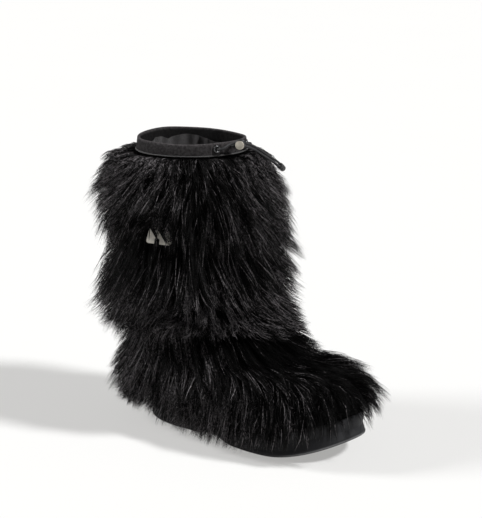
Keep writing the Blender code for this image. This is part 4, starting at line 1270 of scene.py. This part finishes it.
def strandMesh(name, points, tone, rng):
    # closed three-sided needles, each a few rings and a tip, joined in one mesh
    s = furSet
    count, rings, sides = len(points), len(s["taper"]), 3
    heading = unit(np.gradient(points, axis=1))
    across = unit(np.cross(heading, rng.normal(size=(count, 1, 3))))
    beside = np.cross(heading, across)
    streak = np.where(tone > s["streakFrom"], s["streakWidth"], 1.0)
    width = s["width"] / 2 * rng.uniform(*s["widths"], count) * streak
    each = rings * sides + 1
    verts = np.zeros((count, each, 3))
    for k, taper in enumerate(s["taper"]):
        for j in range(sides):
            a = 2 * np.pi * j / sides
            out = across[:, k] * math.cos(a) + beside[:, k] * math.sin(a)
            verts[:, sides * k + j] = points[:, k] + out * (width * taper)[:, None]
    verts[:, -1] = points[:, -1]
    faces, mapU, mapV = [(2, 1, 0)], [0.6, 0.3, 0.0], [0.0, 0.03, 0.0]  # the root's end, then the sides
    for k in range(rings):
        for j in range(sides):
            low, high = s["stations"][k], s["stations"][k + 1]
            a, b = sides * k + j, sides * k + (j + 1) % sides
            if k < rings - 1:
                faces.append((a, b, b + sides, a + sides))
                mapU += [j / sides, (j + 1) / sides, (j + 1) / sides, j / sides]
                mapV += [low, low, high, high]
            else:
                faces.append((a, b, each - 1))
                mapU += [j / sides, (j + 1) / sides, (j + 0.5) / sides]
                mapV += [low, low, high]
    corner = np.concatenate([np.array(face) for face in faces])
    totals = np.array([len(face) for face in faces])
    starts = np.concatenate([[0], np.cumsum(totals)[:-1]])
    offset = np.arange(count)[:, None]
    slot = np.floor(np.clip(tone, 0, 0.999) * s["tones"])
    marginU, marginV = s["mapMargin"]
    loopU = (slot[:, None] + marginU + (1 - 2 * marginU) * np.array(mapU)[None]) / s["tones"]
    loopV = np.broadcast_to(marginV + (1 - 2 * marginV) * np.array(mapV)[None], loopU.shape)
    mesh = bpy.data.meshes.new(name)
    mesh.vertices.add(count * each)
    mesh.vertices.foreach_set("co", (verts * mm).astype(np.float32).ravel())
    mesh.loops.add(count * len(corner))
    mesh.loops.foreach_set("vertex_index", (corner[None] + each * offset).astype(np.int32).ravel())
    mesh.polygons.add(count * len(faces))
    mesh.polygons.foreach_set("loop_start", (starts[None] + len(corner) * offset).astype(np.int32).ravel())
    mesh.polygons.foreach_set("loop_total", np.tile(totals, count).astype(np.int32))
    layer = mesh.uv_layers.new(name="OFBake")
    layer.data.foreach_set("uv", np.stack([loopU, loopV], -1).astype(np.float32).ravel())
    mesh.update(calc_edges=True)
    mesh.validate()
    mesh.shade_smooth()
    return mesh


furFinishSet = {
    "colour": (0.01, 0.01, 0.01), "roughness": 0.38, "specular": 0.1,
    "dashes": 420.0, "dashRange": 2.0,  # breaks the painted glint of a strand into short dashes
    # tint of a strand by its tone, whose light top end is the painted glints
    "tint": [(0.1, (0.0014, 0.0013, 0.0013)), (0.5, (0.0048, 0.0044, 0.0046)),
             (0.7, (0.027, 0.0252, 0.0261)), (1.0, (0.22, 0.204, 0.212))],
    "shade": [(0.04, 0.10), (0.50, 1.0)],  # painted shade, darker towards the root, from root to tip
    "rough": [(0.2, 0.55), (0.6, 0.36), (1.0, 0.24)],
    "feltRoughness": 0.9, "feltSpecular": 0.04,
}


def makeFurMaterial():
    s = furFinishSet
    material, tree, shader = newMaterial(
        "black_long_fur", s["colour"], s["roughness"], specular=s["specular"])
    mapX, mapY = splitMap(tree, "OFBake")
    slots = float(furSet["tones"])
    slot = mathNode(tree, "FLOOR", mathNode(tree, "MULTIPLY", mapX, slots))
    tone = mathNode(tree, "DIVIDE", slot, slots)
    shift = mathNode(tree, "MULTIPLY_ADD", noise(tree, s["dashes"]), s["dashRange"], -s["dashRange"] / 2)
    lively = mathNode(tree, "ADD", tone, shift)
    tint = mixColours(tree, ramp(tree, lively, s["tint"]), ramp(tree, mapY, s["shade"]))
    setInputs(tree, shader, Base_Color=tint, Roughness=ramp(tree, lively, s["rough"]))
    return material


def makeFelted(name, dark, light, scale, depth):
    s = furFinishSet
    material, tree, shader = newMaterial(name, dark, s["feltRoughness"], specular=s["feltSpecular"])
    fibres = noise(tree, scale, 5.0)
    setInputs(tree, shader, Base_Color=ramp(tree, fibres, [(0.3, dark), (0.75, light)]))
    addBump(tree, shader, fibres, depth)
    return material


def underfurShape(tier):
    s = underfurSet

    def shape(turn, level):
        outside = level < s["outsideTo"]
        v = np.where(outside, level / s["outsideTo"], 1 - (level - s["outsideTo"]) / (1 - s["outsideTo"]))
        if tier is topTier:
            middle, half, taken = s["parting"]
            v = v * (1 - taken * bell(turn, middle, half))
        ring, standOff = tierEnvelope(tier, v, turn, 0.3, 0.0)
        rootRing = between((tier["outer"][0][0], tier["rootTo"]), v)
        lumps = 1 + s["lumps"] * np.sin(17 * turn + 9 * v) * np.sin(5 * turn - 14 * v)
        share = s["share"] * lumps * ease(v / 0.08 + 0.2)
        ring = np.where(outside, rootRing + (ring - rootRing) * s["hang"], rootRing)
        standOff = np.where(outside, np.maximum(standOff * share, s["least"]), s["least"])
        point = wallPoint(ring, turn, standOff)
        drop = between(tier["shoulderDrop"], lengthShare(turn)) * ease(1.15 - 1.6 * v) * ease(5 * v)
        point[:, 2] -= np.where(outside, s["dropGain"] * drop, 0.0)
        return point

    return shape


furMaterial = makeFurMaterial()
underfurFelt = makeFelted("black_underfur", (0.0006, 0.0006, 0.0006), (0.0026, 0.0024, 0.0025), 420.0, 0.002)
backingCloth = makeFelted(
    "black_backing_cloth", (0.004, 0.004, 0.004), (0.011, 0.0105, 0.0105), 900.0, 0.0004)
for slot in bpy.data.objects["upper"].material_slots:
    slot.material = backingCloth
for tier in (topTier, middleTier, footTier):
    rng = np.random.default_rng(tier["seed"])
    underfur = underfurShape(tier)
    placeSheet(tier["name"] + "_underfur", underfurSet, underfur, underfurFelt, [tier["node"]])
    points, tone, side = strandPaths(tier, rng)
    points, kept = clearPlate(points)
    points, tone, side = points[kept], tone[kept], side[kept]
    if tier is topTier:
        lockPoints, lockTone = plateLocks(rng)
        points = np.concatenate([points, lockPoints])
        tone = np.concatenate([tone, lockTone])
        side = np.concatenate([side, np.ones(len(lockTone), bool)])
    for half, chosen in (("lateral", side), ("medial", ~side)):
        name = tier["name"] + "_fur_" + half
        mesh = strandMesh(name, points[chosen], tone[chosen], rng)
        place(name, mesh, furMaterial, [tier["node"]])
        print(name, int(chosen.sum()), "strands")

# plain floor and soft studio light
stageSet = {
    "floorSize": 40.0,
    "floorColour": (0.45, 0.45, 0.446),
    "floorPatch": (3.0, 0.99),  # scale and tone of faint patches
    "floorGlow": 0.39,
    "glowColour": (1.0, 0.99, 0.97, 1.0),
    "world": 0.12,
    "lights": [  # name, strength, angle across, azimuth and elevation it comes from
        ("key_light", 3.8, 9.0, 104.0, 46.0),
        ("side_light", 2.1, 18.0, -60.0, 34.0)],
}


def makeFloor(s):
    material, tree, shader = newMaterial("pale_floor", s["floorColour"], 0.9)
    scale, tone = s["floorPatch"]
    patch = tuple(c * tone for c in s["floorColour"])
    tint = ramp(tree, noise(tree, scale), [(0.2, patch), (0.8, s["floorColour"])])
    setInputs(tree, shader, Base_Color=tint, Emission_Color=s["glowColour"], Emission_Strength=s["floorGlow"])
    bm = bmesh.new()
    bmesh.ops.create_grid(bm, x_segments=2, y_segments=2, size=s["floorSize"] / 2)
    mesh = bpy.data.meshes.new("floor")
    bm.to_mesh(mesh)
    bm.free()
    mesh.materials.append(material)
    floor = addObject("floor", mesh)


def makeLight(s):
    world = bpy.data.worlds.new("soft_studio")
    world.use_nodes = True
    background = world.node_tree.nodes["Background"]
    setInputs(world.node_tree, background, Color=(1.0, 1.0, 1.0, 1.0), Strength=s["world"])
    bpy.context.scene.world = world
    for name, strength, across, azimuth, elevation in s["lights"]:
        light = bpy.data.lights.new(name, "SUN")
        light.energy = strength
        light.angle = math.radians(across)
        towards = outward(azimuth, elevation)
        addObject(name, light).rotation_euler = towards.to_track_quat("Z", "Y").to_euler()
    bpy.context.scene.view_settings.view_transform = "Standard"


makeFloor(stageSet)
makeLight(stageSet)
print("stage made")
